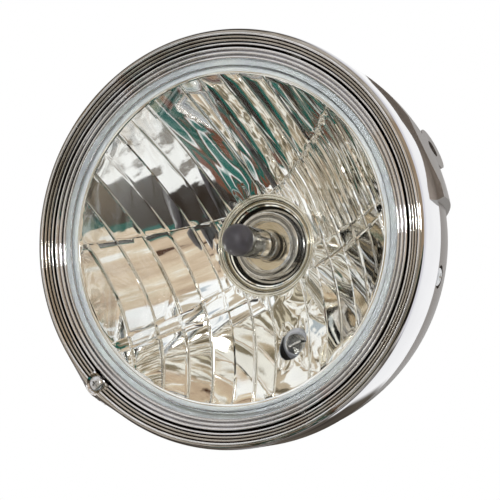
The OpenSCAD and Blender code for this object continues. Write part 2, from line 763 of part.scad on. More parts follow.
// Two side wires carry the filaments' front ends, the lower one carries the shield and the back ends
module bulb_supports() color([0.75, 0.75, 0.72]) {
    end_t = dish_t - 6;
    low_z = shield_z - shield_r - 0.1;
    dip_lead_t = dip_filament[1] - wire_r;
    high_lead_t = high_filament[1] - wire_r;
    bar(wire_r, dip_lead_t - wire_r, end_t, support_x, dip_filament[0], 24);
    bulb_lead(-0.3, support_x, dip_filament[0], dip_lead_t);
    bar(wire_r, high_lead_t - wire_r, end_t, -support_x, high_filament[0], 24);
    bulb_lead(-support_x, 0.3, high_filament[0], high_lead_t);
    bar(wire_r, shield_back_t, end_t, 0, low_z, 24);
    bulb_drop(low_z, high_filament[0] + 0.3, high_filament[2] + wire_r);
    bulb_drop(shield_z - shield_r + 0.52, dip_filament[0] + 0.3, dip_filament[2] + wire_r);
}

module bulb_base() color([0.68, 0.66, 0.62]) {
    difference() {
        union() {
            intersection() {
                bar(collar_r, collar_front_t, seat_t + 0.1, 0, 0, 96);
                slab(-30, 30, -14.5, 30, collar_front_t - cut, seat_t + cut);
            }
            bar(bulb_flange_r, seat_t, seat_t + bulb_flange, 0, 0, 96);
            bar(skirt_tube_r, seat_t, skirt_back_t, 0, 0, 72);
        }
        bar(dish_r, collar_front_t - cut, dish_t, 0, 0, 72);
        slab(-3.4, -0.8, -13, -12, 0, dish_t);
        bar(skirt_tube_r - 1.2, seat_t + bulb_flange + 1, skirt_back_t + cut, 0, 0, 72);
    }
}

module bulb_insulator() color([0.12, 0.12, 0.13]) {
    difference() {
        union() {
            bar(skirt_tube_r - 1.2, skirt_back_t - insulator_h, skirt_back_t, 0, 0, 72);
            bar(skirt_tube_r - 2.5, skirt_back_t - 0.1, skirt_back_t + 1.5, 0, 0, 72);
        }
        blade_set(0);
    }
}

// The three contact blades, two upright at the sides and one level on top
module blade_set(grow) {
    for (x = [-8.5, 8.5])
        slab(x - 0.4 - grow, x + 0.4 + grow, -4 - grow, 4 + grow, skirt_back_t - 6, skirt_back_t + 12);
    slab(-4 - grow, 4 + grow, 7.6 - grow, 8.4 + grow, skirt_back_t - 6, skirt_back_t + 12);
}

module bulb_blades() color([0.8, 0.76, 0.6]) blade_set(0);

// Wire clip that presses the bulb's flange onto the reflector
module bulb_clip() color([0.7, 0.7, 0.72]) {
    t0 = seat_t + bulb_flange;
    t1 = t0 + clip_wire;
    leg_x = 9.75;
    bar_z = 26.7;
    difference() {
        union() {
            bar(18.5, t0, t1, 0, 0, 72);
            slab(-leg_x, leg_x, 12, bar_z, t0, t1);
        }
        bar(18.5 - clip_wire, t0 - cut, t1 + cut, 0, 0, 72);
        slab(-4, 4, -30, -10, t0 - cut, t1 + cut);
        slab(clip_wire - leg_x, leg_x - clip_wire, 10, bar_z - 1.2, t0 - cut, t1 + cut);
    }
}

module bulb_clip_bracket() color([0.62, 0.62, 0.6]) {
    t0 = seat_t;
    front_z = bulb_flange_r + 0.2;
    difference() {
        union() {
            slab(-5, 5, front_z, 29, t0, t0 + 1.2);
            slab(-5, 5, 26.8, 28, t0 + 1, t0 + 3.9);
            slab(-5, 5, front_z, 28, t0 + 2.9, t0 + 4.1);
        }
        bar(clip_hole_r, t0 - cut, t0 + 10, 0, clip_screw_z, 32);
    }
}

module bulb_clip_screw() color([0.72, 0.72, 0.72]) {
    t0 = seat_t + 4.1;
    bar(clip_screw_r, seat_t - clip_screw_len, t0 + 0.1, 0, clip_screw_z, 32);
    bar(2.1, t0, t0 + 1.6, 0, clip_screw_z, 32);
}

module bulb_boot() color([0.09, 0.09, 0.1]) {
    wall = 1.6;
    r0 = neck_r + 0.05;
    lathe([
        [r0, seat_t - 4.5], [r0, seat_t + 6.5], [r0 - 3, seat_t + 8], [18, seat_t + 8.5],
        [skirt_tube_r + 0.1, skirt_back_t - 2.5], [skirt_tube_r + 0.1, skirt_back_t], [skirt_tube_r + 1.8, skirt_back_t],
        [skirt_tube_r + 1.8, skirt_back_t - 1.6], [19, seat_t + 8.5 + wall], [r0 - 2, seat_t + 8 + wall],
        [r0 + wall, seat_t + 7], [r0 + wall, seat_t + 0.5], [r0 + wall + 0.9, seat_t - 1],
        [r0 + wall + 0.9, seat_t - 3.6], [r0 + wall, seat_t - 4.5]
    ]);
}

// Side lamp

module side_lathe(profile) {
    translate([0, -groove_y, -side_lamp_z]) rotate([-90, 0, 0]) rotate_extrude($fn = 64) polygon(profile);
}

module side_bulb_holder() color([0.42, 0.43, 0.44]) {
    plug_r = side_hole_r - 0.15;
    side_lathe([
        [side_bulb_r + 0.15, side_seat_t - 7], [side_bulb_r + 1.5, side_seat_t - 7],
        [plug_r, side_seat_t - 5], [plug_r, side_seat_t], [side_hole_r + 1.5, side_seat_t],
        [side_hole_r + 1.5, side_seat_t + 1.5], [side_hole_r - 1.2, side_seat_t + 3],
        [side_hole_r - 2, side_seat_t + 15], [0, side_seat_t + 15], [0, side_seat_t + 6],
        [side_bulb_r + 0.15, side_seat_t + 6]
    ]);
}

module side_bulb_glass() color([0.9, 0.95, 1, 0.3]) {
    r = side_bulb_r;
    tip = side_seat_t - 16;
    side_lathe(concat(
        [for (i = [0:6]) [r * sin(15 * i), tip + r - r * cos(15 * i)]],
        [[r, side_seat_t + 2], [3, side_seat_t + 6], [0, side_seat_t + 6], [0, side_seat_t + 3], [r - 0.7, side_seat_t]],
        [for (i = [6:-1:0]) [(r - 0.7) * sin(15 * i), tip + 0.7 + (r - 0.7) * (1 - cos(15 * i))]]
    ));
}

module side_bulb_filament() color([0.75, 0.72, 0.68]) {
    coil_t = side_seat_t - 8;
    reach = side_post_x + 0.6;
    translate([-reach, coil_t - groove_y, -side_lamp_z]) rotate([0, 90, 0])
        cylinder(r = 0.5, h = 2 * reach, $fn = 24);
    for (x = [-side_post_x, side_post_x]) bar(0.3, coil_t, side_seat_t + 1.6, x, -side_lamp_z, 24);
}

module side_bulb_contacts() color([0.8, 0.76, 0.6]) {
    for (x = [-3, 3])
        slab(x - 0.4, x + 0.4, -side_lamp_z - 2.4, -side_lamp_z + 2.4, side_seat_t + 15, side_seat_t + 22);
}

outer_rim();
shell();
bracket_nut(-1);  // bracket_nut_left
bracket_nut(1);  // bracket_nut_right
cable_grommet();
rim_tab(180 + rim_screw_angle);  // rim_tab_left
rim_tab(-rim_screw_angle);  // rim_tab_right
rim_screw(180 + rim_screw_angle);  // rim_screw_left
rim_screw(-rim_screw_angle);  // rim_screw_right
pivot_bracket(true);  // pivot_bracket_top
pivot_bracket(false);  // pivot_bracket_bottom
pivot_pin(true);  // pivot_pin_top
pivot_pin(false);  // pivot_pin_bottom
adjuster_screw();
adjuster_clip();
adjuster_nut();
adjuster_lug();
inner_ring();
lens();
lens_gasket();
reflector();
bulb_seat();
unit_clips();
bulb_glass();
bulb_cap();
bulb_dip_shield();
bulb_filaments();
bulb_supports();
bulb_base();
bulb_insulator();
bulb_blades();
bulb_clip();
bulb_clip_bracket();
bulb_clip_screw();
bulb_boot();
side_bulb_glass();
side_bulb_filament();
side_bulb_holder();
side_bulb_contacts();
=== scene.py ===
"""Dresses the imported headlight: turned chrome rings, a fluted mirror, the bulbs, the shell and the studio."""
import json
import logging
import math
from dataclasses import dataclass, field
from enum import Enum
from typing import Any, Iterable, Sequence

import bmesh
import bpy
from mathutils import Matrix, Vector


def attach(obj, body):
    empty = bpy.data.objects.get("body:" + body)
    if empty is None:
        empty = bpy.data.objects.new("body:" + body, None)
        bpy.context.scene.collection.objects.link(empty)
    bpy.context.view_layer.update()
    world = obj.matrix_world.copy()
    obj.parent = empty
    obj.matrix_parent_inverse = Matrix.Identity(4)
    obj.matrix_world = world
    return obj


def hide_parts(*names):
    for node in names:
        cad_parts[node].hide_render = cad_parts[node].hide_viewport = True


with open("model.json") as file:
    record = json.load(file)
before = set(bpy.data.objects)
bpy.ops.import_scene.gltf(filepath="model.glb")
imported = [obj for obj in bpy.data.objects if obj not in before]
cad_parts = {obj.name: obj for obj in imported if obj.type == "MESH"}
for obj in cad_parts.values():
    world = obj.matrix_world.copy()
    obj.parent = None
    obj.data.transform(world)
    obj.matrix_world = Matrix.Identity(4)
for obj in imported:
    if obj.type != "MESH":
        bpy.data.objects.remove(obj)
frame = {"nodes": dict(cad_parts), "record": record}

LOG = logging.getLogger("headlight")
MM = 0.001
GROOVE_Y = 45.0
CUT_FRONT, CUT_BACK = -9.0, 40.0
Point = tuple[float, float]
Colour = tuple[float, float, float]
Stops = Sequence[tuple[float, Colour]]
Mesh = bmesh.types.BMesh


class Body(Enum):
    """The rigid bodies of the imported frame."""

    HOUSING = "housing"
    BEAM = "beam_unit"
    ADJUSTER = "adjuster"


# ---------------------------------------------------------------- shader maths


class Socket:
    """A shader output whose operators add Math nodes."""

    def __init__(self, maker: "NodeMaker", out: Any) -> None:
        """Keeps the maker and the output that this value stands for."""
        self.maker = maker
        self.out = out

    def _math(self, operation: str, *values: Any) -> "Socket":
        """Adds one Math node.

        Args:
            operation: the Math node's operation.
            values: sockets or numbers for its inputs.

        Returns:
            The node's result.
        """
        return self.maker.node("ShaderNodeMath", {"operation": operation}, dict(enumerate(values)))

    def __add__(self, other: Any) -> "Socket":
        """Sum."""
        return self._math("ADD", self, other)

    __radd__ = __add__

    def __mul__(self, other: Any) -> "Socket":
        """Product."""
        return self._math("MULTIPLY", self, other)

    __rmul__ = __mul__

    def __sub__(self, other: Any) -> "Socket":
        """Difference."""
        return self._math("SUBTRACT", self, other)

    def __rsub__(self, other: Any) -> "Socket":
        """Difference with the number first."""
        return self._math("SUBTRACT", other, self)

    def smooth(self, low: float, high: float) -> "Socket":
        """Smooth step from 0 at low to 1 at high."""
        return self.maker.node(
            "ShaderNodeMapRange",
            {"interpolation_type": "SMOOTHSTEP"},
            {"Value": self, "From Min": low, "From Max": high},
        )


class NodeMaker:
    """Makes every node of one node tree."""

    def __init__(self, tree: Any) -> None:
        """Empties the tree that the nodes go into."""
        self.tree = tree
        tree.nodes.clear()

    def node(self, kind: str, settings: dict | None = None, inputs: dict | None = None, out: Any = 0) -> Socket:
        """Adds a node.

        Args:
            kind: the node's type name.
            settings: attributes to set first; "stops" holds a ramp's stops.
            inputs: socket name or number to a number, tuple or Socket.
            out: name or number of the output to return.

        Returns:
            The chosen output.
        """
        made = self.tree.nodes.new(kind)
        for key, value in (settings or {}).items():
            if key == "stops":
                self._stops(made.color_ramp, value)
            else:
                setattr(made, key, value)
        for key, value in (inputs or {}).items():
            if isinstance(value, Socket):
                self.tree.links.new(value.out, made.inputs[key])
            else:
                made.inputs[key].default_value = value
        return Socket(self, made.outputs[out] if len(made.outputs) else None)

    @staticmethod
    def _stops(ramp: Any, stops: Stops) -> None:
        """Sets a colour ramp's stops."""
        while len(ramp.elements) > 1:
            ramp.elements.remove(ramp.elements[-1])
        for index, (place, colour) in enumerate(stops):
            element = ramp.elements[0] if index == 0 else ramp.elements.new(place)
            element.position = place
            element.color = (*colour, 1.0)

    def ramp(self, value: Socket, stops: Stops) -> Socket:
        """Colour from a value by a ramp."""
        return self.node("ShaderNodeValToRGB", {"stops": stops}, {"Fac": value})

    def mix(self, factor: Any, first: Any, second: Any) -> Socket:
        """Mix of two colours."""
        inputs = {0: factor}
        inputs.update({6: first if isinstance(first, Socket) else (*first, 1.0)})
        inputs.update({7: second if isinstance(second, Socket) else (*second, 1.0)})
        return self.node("ShaderNodeMix", {"data_type": "RGBA"}, inputs, out=2)

    def place(self) -> Socket:
        """Object coordinates."""
        return self.node("ShaderNodeTexCoord", out="Object")

    def stretched(self, where: Socket, scale: tuple[float, float, float]) -> Socket:
        """Coordinates scaled along each axis."""
        return self.node("ShaderNodeMapping", None, {"Vector": where, "Scale": scale})

    def noise(self, scale: float, detail: float = 2.0, where: Socket | None = None, rough: float = 0.5) -> Socket:
        """Noise value on Object coordinates, scale in waves per metre."""
        where = where or self.place()
        return self.node(
            "ShaderNodeTexNoise", None, {"Vector": where, "Scale": scale, "Detail": detail, "Roughness": rough}
        )

    def bump(self, height: Socket, depth: float, strength: float = 1.0) -> Socket:
        """Bump normal from a height."""
        return self.node("ShaderNodeBump", None, {"Height": height, "Distance": depth, "Strength": strength})


# ---------------------------------------------------------------- finishes


@dataclass(frozen=True)
class Finish:
    """A solid surface: colour that drifts a little, uneven gloss and a fine relief."""

    name: str
    colour: Colour
    metallic: float = 0.0
    rough: float = 0.4
    rough_drift: float = 0.08
    drift_scale: float = 60.0
    shade: float = 0.12
    grain_scale: float = 900.0
    grain_depth: float = 0.00002
    coat: float = 0.0

    def material(self) -> bpy.types.Material:
        """Builds the material once and returns it."""
        name = f"{self.name}_finish"
        found = bpy.data.materials.get(name)
        if found:
            return found
        made = bpy.data.materials.new(name)
        made.use_nodes = True
        self._fill(NodeMaker(made.node_tree))
        made.diffuse_color = (*self.colour, 1.0)
        return made

    def _tint(self, maker: NodeMaker, colour: Socket) -> Socket:
        """A plain finish keeps its colour."""
        return colour

    def _fill(self, maker: NodeMaker) -> None:
        """Adds the nodes."""
        drift = maker.noise(self.drift_scale, 4.0)
        darker = tuple(c * (1 - self.shade) for c in self.colour)
        lighter = tuple(min(1.0, c * (1 + self.shade)) for c in self.colour)
        colour = self._tint(maker, maker.mix(drift.smooth(0.3, 0.7), darker, lighter))
        rough = drift * (2 * self.rough_drift) + (self.rough - self.rough_drift)
        inputs = {"Base Color": colour, "Metallic": self.metallic, "Roughness": rough}
        if self.grain_depth:
            inputs["Normal"] = maker.bump(maker.noise(self.grain_scale, 3.0), self.grain_depth)
        if self.coat:
            inputs["Coat Weight"] = self.coat
            inputs["Coat Roughness"] = 0.08
        shader = maker.node("ShaderNodeBsdfPrincipled", None, inputs)
        maker.node("ShaderNodeOutputMaterial", None, {"Surface": shader})


@dataclass(frozen=True)
class RingShadedFinish(Finish):
    """A surface with rings of colour painted round the lamp's axis, most of them painted shade and painted reflection:
    from and to radius in mm, and a colour.
    """

    shade_and_tint_rings: tuple[tuple[float, float, Colour], ...] = ()
    soft: float = 0.12

    def _tint(self, maker: NodeMaker, colour: Socket) -> Socket:
        """Mixes the rings' colours in by distance from the lamp's axis, painting shade and reflection into the base
        colour.
        """
        to_mm = (1000.0, 0.0, 1000.0)
        flat = maker.node("ShaderNodeVectorMath", {"operation": "MULTIPLY"}, {0: maker.place(), 1: to_mm})
        radius = maker.node("ShaderNodeVectorMath", {"operation": "LENGTH"}, {0: flat}, "Value")
        for low, high, tint in self.shade_and_tint_rings:
            inside = radius.smooth(low - self.soft, low + self.soft) * (high - radius).smooth(-self.soft, self.soft)
            colour = maker.mix(inside, colour, tint)
        return colour


@dataclass(frozen=True)
class GlassFinish(Finish):
    """Clear glass that lets lamp light through to what it covers."""

    ior: float = 1.45

    def _fill(self, maker: NodeMaker) -> None:
        """Adds the nodes."""
        glass = maker.node(
            "ShaderNodeBsdfPrincipled",
            None,
            {
                "Base Color": (*self.colour, 1.0),
                "Roughness": self.rough,
                "IOR": self.ior,
                "Transmission Weight": 1.0,
            },
        )
        clear = maker.node("ShaderNodeBsdfTransparent", None, {"Color": (*self.colour, 1.0)})
        shadow = maker.node("ShaderNodeLightPath", None, None, "Is Shadow Ray")
        shader = maker.node("ShaderNodeMixShader", None, {0: shadow, 1: glass, 2: clear})
        maker.node("ShaderNodeOutputMaterial", None, {"Surface": shader})


CHROME = RingShadedFinish(
    "chrome_plate", (0.80, 0.80, 0.82), 1.0, 0.04, 0.02, 35.0, 0.03, 500.0, 0.000003,
    # Rings painted on the chrome's beads: the dark lines are painted shade in the bead valleys, the brown-grey bands
    # painted reflection of a dark room.
    shade_and_tint_rings=(
        (87.9, 88.3, (0.20, 0.19, 0.19)), (90.0, 90.4, (0.16, 0.15, 0.15)), (92.5, 93.0, (0.08, 0.07, 0.065)),
        (94.0, 94.4, (0.02, 0.02, 0.02)), (94.4, 97.0, (0.50, 0.47, 0.43)), (95.55, 95.85, (0.13, 0.115, 0.10)),
        (97.0, 97.4, (0.13, 0.115, 0.10)), (98.4, 100.1, (0.40, 0.37, 0.33)),
    ),
)
MIRROR = Finish("mirror_coat", (0.93, 0.915, 0.88), 1.0, 0.025, 0.012, 45.0, 0.03, 260.0, 0.000005)
SHELL_COAT = Finish("shell_coat", (0.19, 0.165, 0.145), 0.55, 0.34, 0.06, 40.0, 0.10, 1500.0, 0.00001)
ZINC = Finish("zinc_plate", (0.52, 0.52, 0.50), 0.9, 0.32, 0.08, 90.0, 0.15, 1600.0, 0.00002)
YELLOW_ZINC = RingShadedFinish(
    "yellow_zinc", (0.90, 0.87, 0.78), 1.0, 0.07, 0.03, 90.0, 0.08, 900.0, 0.000003,
    # The near-black disc is painted shade in the deep groove round the bulb's collar; the thin dark ring is painted
    # shade in the crease behind the bead.
    shade_and_tint_rings=((0.0, 20.7, (0.02, 0.02, 0.02)), (23.0, 23.5, (0.40, 0.36, 0.28))),
)
SCREW_STEEL = Finish("screw_steel", (0.60, 0.61, 0.62), 0.95, 0.24, 0.08, 300.0, 0.15, 2500.0, 0.00002)
RUBBER = Finish("black_rubber", (0.022, 0.022, 0.023), 0.0, 0.62, 0.1, 70.0, 0.2, 1800.0, 0.00006)
SEAL = Finish("pale_seal", (0.88, 0.93, 0.99), 0.0, 0.42, 0.08, 60.0, 0.08, 900.0, 0.00004)
NYLON = Finish("white_nylon", (0.72, 0.70, 0.64), 0.0, 0.42, 0.06, 120.0, 0.06, 1200.0, 0.00002)
BRASS = Finish("contact_brass", (0.66, 0.52, 0.26), 0.95, 0.3, 0.08, 200.0, 0.12, 1800.0, 0.00001)
BLACK_PLASTIC = Finish("black_plastic", (0.03, 0.03, 0.034), 0.0, 0.4, 0.08, 100.0, 0.15, 1500.0, 0.00003)
GREY_PLASTIC = Finish("grey_plastic", (0.52, 0.53, 0.57), 0.0, 0.3, 0.08, 200.0, 0.15, 1500.0, 0.00003, 0.3)
CAP_PAINT = Finish("cap_paint", (0.056, 0.050, 0.064), 0.0, 0.40, 0.06, 260.0, 0.18, 2600.0, 0.00003)
WIRE = Finish("bulb_wire", (0.80, 0.79, 0.76), 1.0, 0.2, 0.06, 500.0, 0.1, 2000.0, 0.00001)
BULB_STEEL = RingShadedFinish(
    "bulb_steel", (0.72, 0.70, 0.67), 1.0, 0.13, 0.04, 160.0, 0.10, 1200.0, 0.000003,
    # The black ring from 17.5 to 18.2 mm is painted shade in the gap round the collar.
    shade_and_tint_rings=((0.0, 12.6, (0.95, 0.84, 0.66)), (14.5, 15.9, (0.42, 0.41, 0.40)), (17.5, 18.2, (0.05, 0.05, 0.05))),
)
LENS_GLASS = GlassFinish("lens_glass", (0.97, 0.985, 0.99), rough=0.0, ior=1.2)
BULB_GLASS = GlassFinish("bulb_quartz", (0.98, 0.99, 1.0), rough=0.0, ior=1.32)


# ---------------------------------------------------------------- mesh making


def lamp_y(t: float) -> float:
    """Depth t behind the groove's face, in mm, as a Y coordinate in metres."""
    return (t - GROOVE_Y) * MM


def arc(centre: Point, radius: float, start: float, end: float, count: int) -> list[Point]:
    """Points of an arc of [radius, depth], angles in degrees."""
    turns = [math.radians(start + (end - start) * i / count) for i in range(count + 1)]
    return [(centre[0] + radius * math.cos(q), centre[1] + radius * math.sin(q)) for q in turns]


def turned(profile: Sequence[Point], steps: int = 96, x: float = 0.0, z: float = 0.0, closed: bool = True) -> Mesh:
    """Turns a profile round an axis along Y.

    Args:
        profile: points of radius and depth in mm.
        steps: how many faces go round.
        x: place of the axis across the lamp, in mm.
        z: height of the axis, in mm.
        closed: whether the last point joins the first.

    Returns:
        The turned mesh, merged and facing outwards.
    """
    bm = bmesh.new()
    verts = [bm.verts.new(((x + r) * MM, lamp_y(t), z * MM)) for r, t in profile]
    pairs = list(zip(verts, verts[1:])) + ([(verts[-1], verts[0])] if closed else [])
    edges = [bm.edges.new(pair) for pair in pairs]
    bmesh.ops.spin(
        bm, geom=verts + edges, cent=(x * MM, 0, z * MM), axis=(0, 1, 0), angle=math.tau, steps=steps, use_merge=True
    )
    return tidy(bm)


def drum(radius: float, front: float, back: float, steps: int, x: float = 0.0, z: float = 0.0) -> Mesh:
    """A plain closed cylinder along Y from one depth to another, all in mm."""
    return turned([(0, front), (radius, front), (radius, back), (0, back)], steps, x, z, closed=False)


def tidy(bm: Mesh) -> Mesh:
    """Merges doubles, then turns all faces outwards."""
    bmesh.ops.remove_doubles(bm, verts=bm.verts, dist=2e-6)
    bmesh.ops.recalc_face_normals(bm, faces=bm.faces)
    return bm


def rod(radius: float, start: Vector, end: Vector, segments: int = 24, tip: float | None = None) -> Mesh:
    """A round rod between two points, in metres, with an optional second radius at its end."""
    bm = bmesh.new()
    way = end - start
    turn = way.to_track_quat("Z", "Y").to_matrix().to_4x4()
    bmesh.ops.create_cone(
        bm,
        cap_ends=True,
        segments=segments,
        radius1=radius,
        radius2=radius if tip is None else tip,
        depth=way.length,
        matrix=Matrix.Translation((start + end) / 2) @ turn,
    )
    return bm


def joined(*parts: Mesh) -> Mesh:
    """Puts several meshes in the first one."""
    first = parts[0]
    for part in parts[1:]:
        carrier = bpy.data.meshes.new("carrier")
        part.to_mesh(carrier)
        part.free()
        first.from_mesh(carrier)
        bpy.data.meshes.remove(carrier)
    return first


def carved(target: Mesh, tool: Mesh, operation: str = "DIFFERENCE") -> Mesh:
    """Cuts or joins two closed meshes exactly.

    Args:
        target: mesh to change; it is freed.
        tool: mesh that cuts or joins; it is freed.
        operation: DIFFERENCE, UNION or INTERSECT.

    Returns:
        The new mesh.
    """
    made = []
    for bm in (target, tool):
        mesh = bpy.data.meshes.new("solid")
        bm.to_mesh(mesh)
        bm.free()
        thing = bpy.data.objects.new("solid", mesh)
        bpy.context.scene.collection.objects.link(thing)
        made.append(thing)
    cut = made[0].modifiers.new("cut", "BOOLEAN")
    cut.operation, cut.object, cut.solver = operation, made[1], "EXACT"
    result = made[0].evaluated_get(bpy.context.evaluated_depsgraph_get()).to_mesh()
    bm = bmesh.new()
    bm.from_mesh(result)
    for thing in made:
        mesh = thing.data
        bpy.data.objects.remove(thing)
        bpy.data.meshes.remove(mesh)
    return bm


def piece(
    name: str,
    bm: Mesh,
    body: Body,
    finish: Finish,
    stands_for: Iterable[str] = (),
    sharp: float = 32.0,
) -> bpy.types.Object:
    """Makes a finished piece.

    Args:
        name: the object's name.
        bm: its mesh in the frame's own place; it is freed.
        body: the body that it rides on.
        finish: its surface.
        stands_for: CAD nodes that it replaces.
        sharp: edges sharper than this angle, in degrees, stay crisp.

    Returns:
        The object.
    """
    limit = math.radians(sharp)
    for face in bm.faces:
        face.smooth = True
    for edge in bm.edges:
        edge.smooth = edge.calc_face_angle(0.0) < limit
    mesh = bpy.data.meshes.new(name)
    bm.to_mesh(mesh)
    bm.free()
    mesh.materials.append(finish.material())
    made = bpy.data.objects.new(name, mesh)
    bpy.context.scene.collection.objects.link(made)
    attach(made, body.value)
    if stands_for:
        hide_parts(*stands_for)
    LOG.info("%s: %d faces on %s", name, len(mesh.polygons), body.value)
    return made


# ---------------------------------------------------------------- housing


@dataclass
class Rings:
    """The two chrome rings round the lens, in mm."""

    rim_r: float = 101.0
    rim_wall: float = 1.2
    rim_back_t: float = 24.0
    flange_t: float = 6.0
    groove_r: float = 92.7
    beads: int = 4
    bead_r: float = 0.6
    bead_rise: float = 0.85
    shoulder_t: float = 2.2
    ring_in_r: float = 90.7
    ring_wall: float = 1.2
    ring_back_t: float = 17.0
    ring_face: float = 5.5
    ring_bead_r: float = 0.7
    ring_drop: float = 0.7
    lip_t: float = 4.0
    adjuster_r: float = 96.7
    adjuster_angle: float = 201.5
    pad_r: float = 6.45
    recess_r: float = 4.9
    recess_t: float = -0.4
    bulge_end_t: float = 20.0
    bulge_fall_t: float = 13.0
    pad_back_t: float = 2.9
    bore_r: float = 2.3
    bore_end_t: float = 6.0
    pocket_r: float = 5.1
    pocket_t: tuple[float, float] = (0.9, 15.5)
    bulge_r: float = 103.1
    steps: int = 360

    @property
    def adjuster_place(self) -> Point:
        """Place of the adjuster's axis across the lamp, in mm."""
        turn = math.radians(self.adjuster_angle)
        return self.adjuster_r * math.cos(turn), self.adjuster_r * math.sin(turn)

    def rim_profile(self) -> list[Point]:
        """Outline of the outer rim's sheet."""
        pitch = 6.0 / self.beads
        top_t = self.bead_r - self.bead_rise * (self.beads - 1)
        shoulder_r = self.groove_r + 5.85
        inner_r = self.rim_r - self.rim_wall
        points: list[Point] = [(self.groove_r, self.flange_t), (self.groove_r, self.bead_r)]
        for i in range(self.beads):
            centre = (self.groove_r + pitch * (i + 0.5), self.bead_r - self.bead_rise * i)
            points += arc(centre, self.bead_r, 180, 360, 10)
        for i in range(1, 13):
            turn = math.radians(7.5 * i)
            points.append((
                shoulder_r + (self.rim_r - shoulder_r) * math.sin(turn),
                self.shoulder_t - (self.shoulder_t - top_t) * math.cos(turn),
            ))
        roll_r = 0.3
        points += arc((self.rim_r - roll_r, self.rim_back_t - roll_r), roll_r, 0, 90, 3)
        points += [
            (inner_r, self.rim_back_t), (inner_r, self.shoulder_t + 1), (inner_r - 0.7, self.shoulder_t - 1),
            (shoulder_r - 1.2, top_t + 1.5), (self.groove_r + 1.5, self.bead_r + 1),
            (self.groove_r + self.rim_wall, self.bead_r + 1.6), (self.groove_r + self.rim_wall, self.flange_t),
        ]
        return points

    def swelling(self) -> Mesh:
        """A soft swelling of the rim's side round the adjuster, which dies away round it and backwards."""
        top_t = self.bead_r - self.bead_rise * (self.beads - 1) + 0.15
        low_r, base_r, front_t = self.groove_r + 6.25, self.rim_r - 0.15, self.shoulder_t + 0.15
        section: list[tuple[float, float, float]] = []
        for i in range(9):
            turn = math.radians(11.25 * i)
            depth = front_t - (front_t - top_t) * math.cos(turn)
            section.append((low_r + (base_r - low_r) * math.sin(turn), depth, math.sin(turn)))
        for i in range(1, 17):
            t = front_t + (self.bulge_end_t - front_t) * i / 16
            fall = max(0.0, (t - self.bulge_fall_t) / (self.bulge_end_t - self.bulge_fall_t))
            section.append((base_r, t, 0.5 + 0.5 * math.cos(math.pi * fall)))
        section += [(100.2, self.bulge_end_t, 0.0), (100.2, 3.2, 0.0), (99.4, 0.2, 0.0)]
        bm = bmesh.new()
        columns = []
        for i in range(73):
            off = 0.5 * i - 18
            turn = math.radians(self.adjuster_angle + off)
            rise = (self.bulge_r - base_r) * math.exp(-((off / 7.0) ** 2))
            across, up = math.cos(turn), math.sin(turn)
            column = [(r + rise * push, t) for r, t, push in section]
            columns.append([bm.verts.new(Vector((across * r * MM, lamp_y(t), up * r * MM))) for r, t in column])
        for first, second in zip(columns, columns[1:]):
            for i, vert in enumerate(first):
                bm.faces.new((first[i - 1], vert, second[i], second[i - 1]))
        bm.faces.new(columns[0][::-1])
        bm.faces.new(columns[-1])
        return tidy(bm)

    def build_rim(self) -> None:
        """Turns the outer rim, raises the adjuster's pad on it and sinks the screw's recess."""
        x, z = self.adjuster_place
        bm = turned(self.rim_profile(), self.steps)
        flare = [(-0.9, -1.15), (-0.4, -0.95), (0, -0.2), (0.8, 0.9), (2.4, 2.0), (4.6, 2.6), (4.6, 3.4)]
        outline = [(0, flare[0][1])] + [(self.pad_r + r, t) for r, t in flare] + [(0, flare[-1][1])]
        pad = turned(outline, 64, x, z, closed=False)
        reach = drum(self.bulge_r, CUT_FRONT, CUT_BACK, self.steps)
        hollow = drum(self.groove_r, CUT_FRONT, CUT_BACK, self.steps)
        body = drum(self.rim_r - self.rim_wall, self.pad_back_t, CUT_BACK, self.steps)
        pad = carved(carved(carved(pad, reach, "INTERSECT"), hollow), body)
        bm = carved(carved(bm, pad, "UNION"), self.swelling(), "UNION")
        bm = carved(bm, drum(self.recess_r, CUT_FRONT, self.recess_t, 64, x, z))
        bm = carved(bm, drum(self.pocket_r, *self.pocket_t, 64, x, z))
        bm = carved(bm, drum(self.bore_r, CUT_FRONT, self.bore_end_t, 48, x, z))
        piece("outer_rim_polished", tidy(bm), Body.HOUSING, CHROME, ["outer_rim"])

    def ring_profile(self) -> list[Point]:
        """Outline of the inner ring's sheet."""
        outer = self.ring_in_r + self.ring_wall
        gap = (self.ring_face - 2 * self.ring_bead_r) / 2
        points: list[Point] = [(self.ring_in_r, self.ring_back_t), (outer, self.ring_back_t)]
        for i in range(3):
            centre = (outer - self.ring_bead_r - i * gap, self.ring_bead_r + self.ring_drop * i)
            points += arc(centre, self.ring_bead_r, 360, 180, 12)
        lip_r = outer - self.ring_face
        return points + [(lip_r, self.lip_t), (self.ring_in_r, self.lip_t)]

    def build_ring(self) -> None:
        """Turns the inner ring with its three beads."""
        bm = turned(self.ring_profile(), self.steps)
        for up in (-1, 1):
            start = Vector((0, lamp_y(10), up * 60 * MM))
            bm = carved(bm, rod(2.56 * MM, start, start + Vector((0, 0, up * 45 * MM)), 48))
        piece("inner_ring_polished", tidy(bm), Body.BEAM, CHROME, ["inner_ring"])


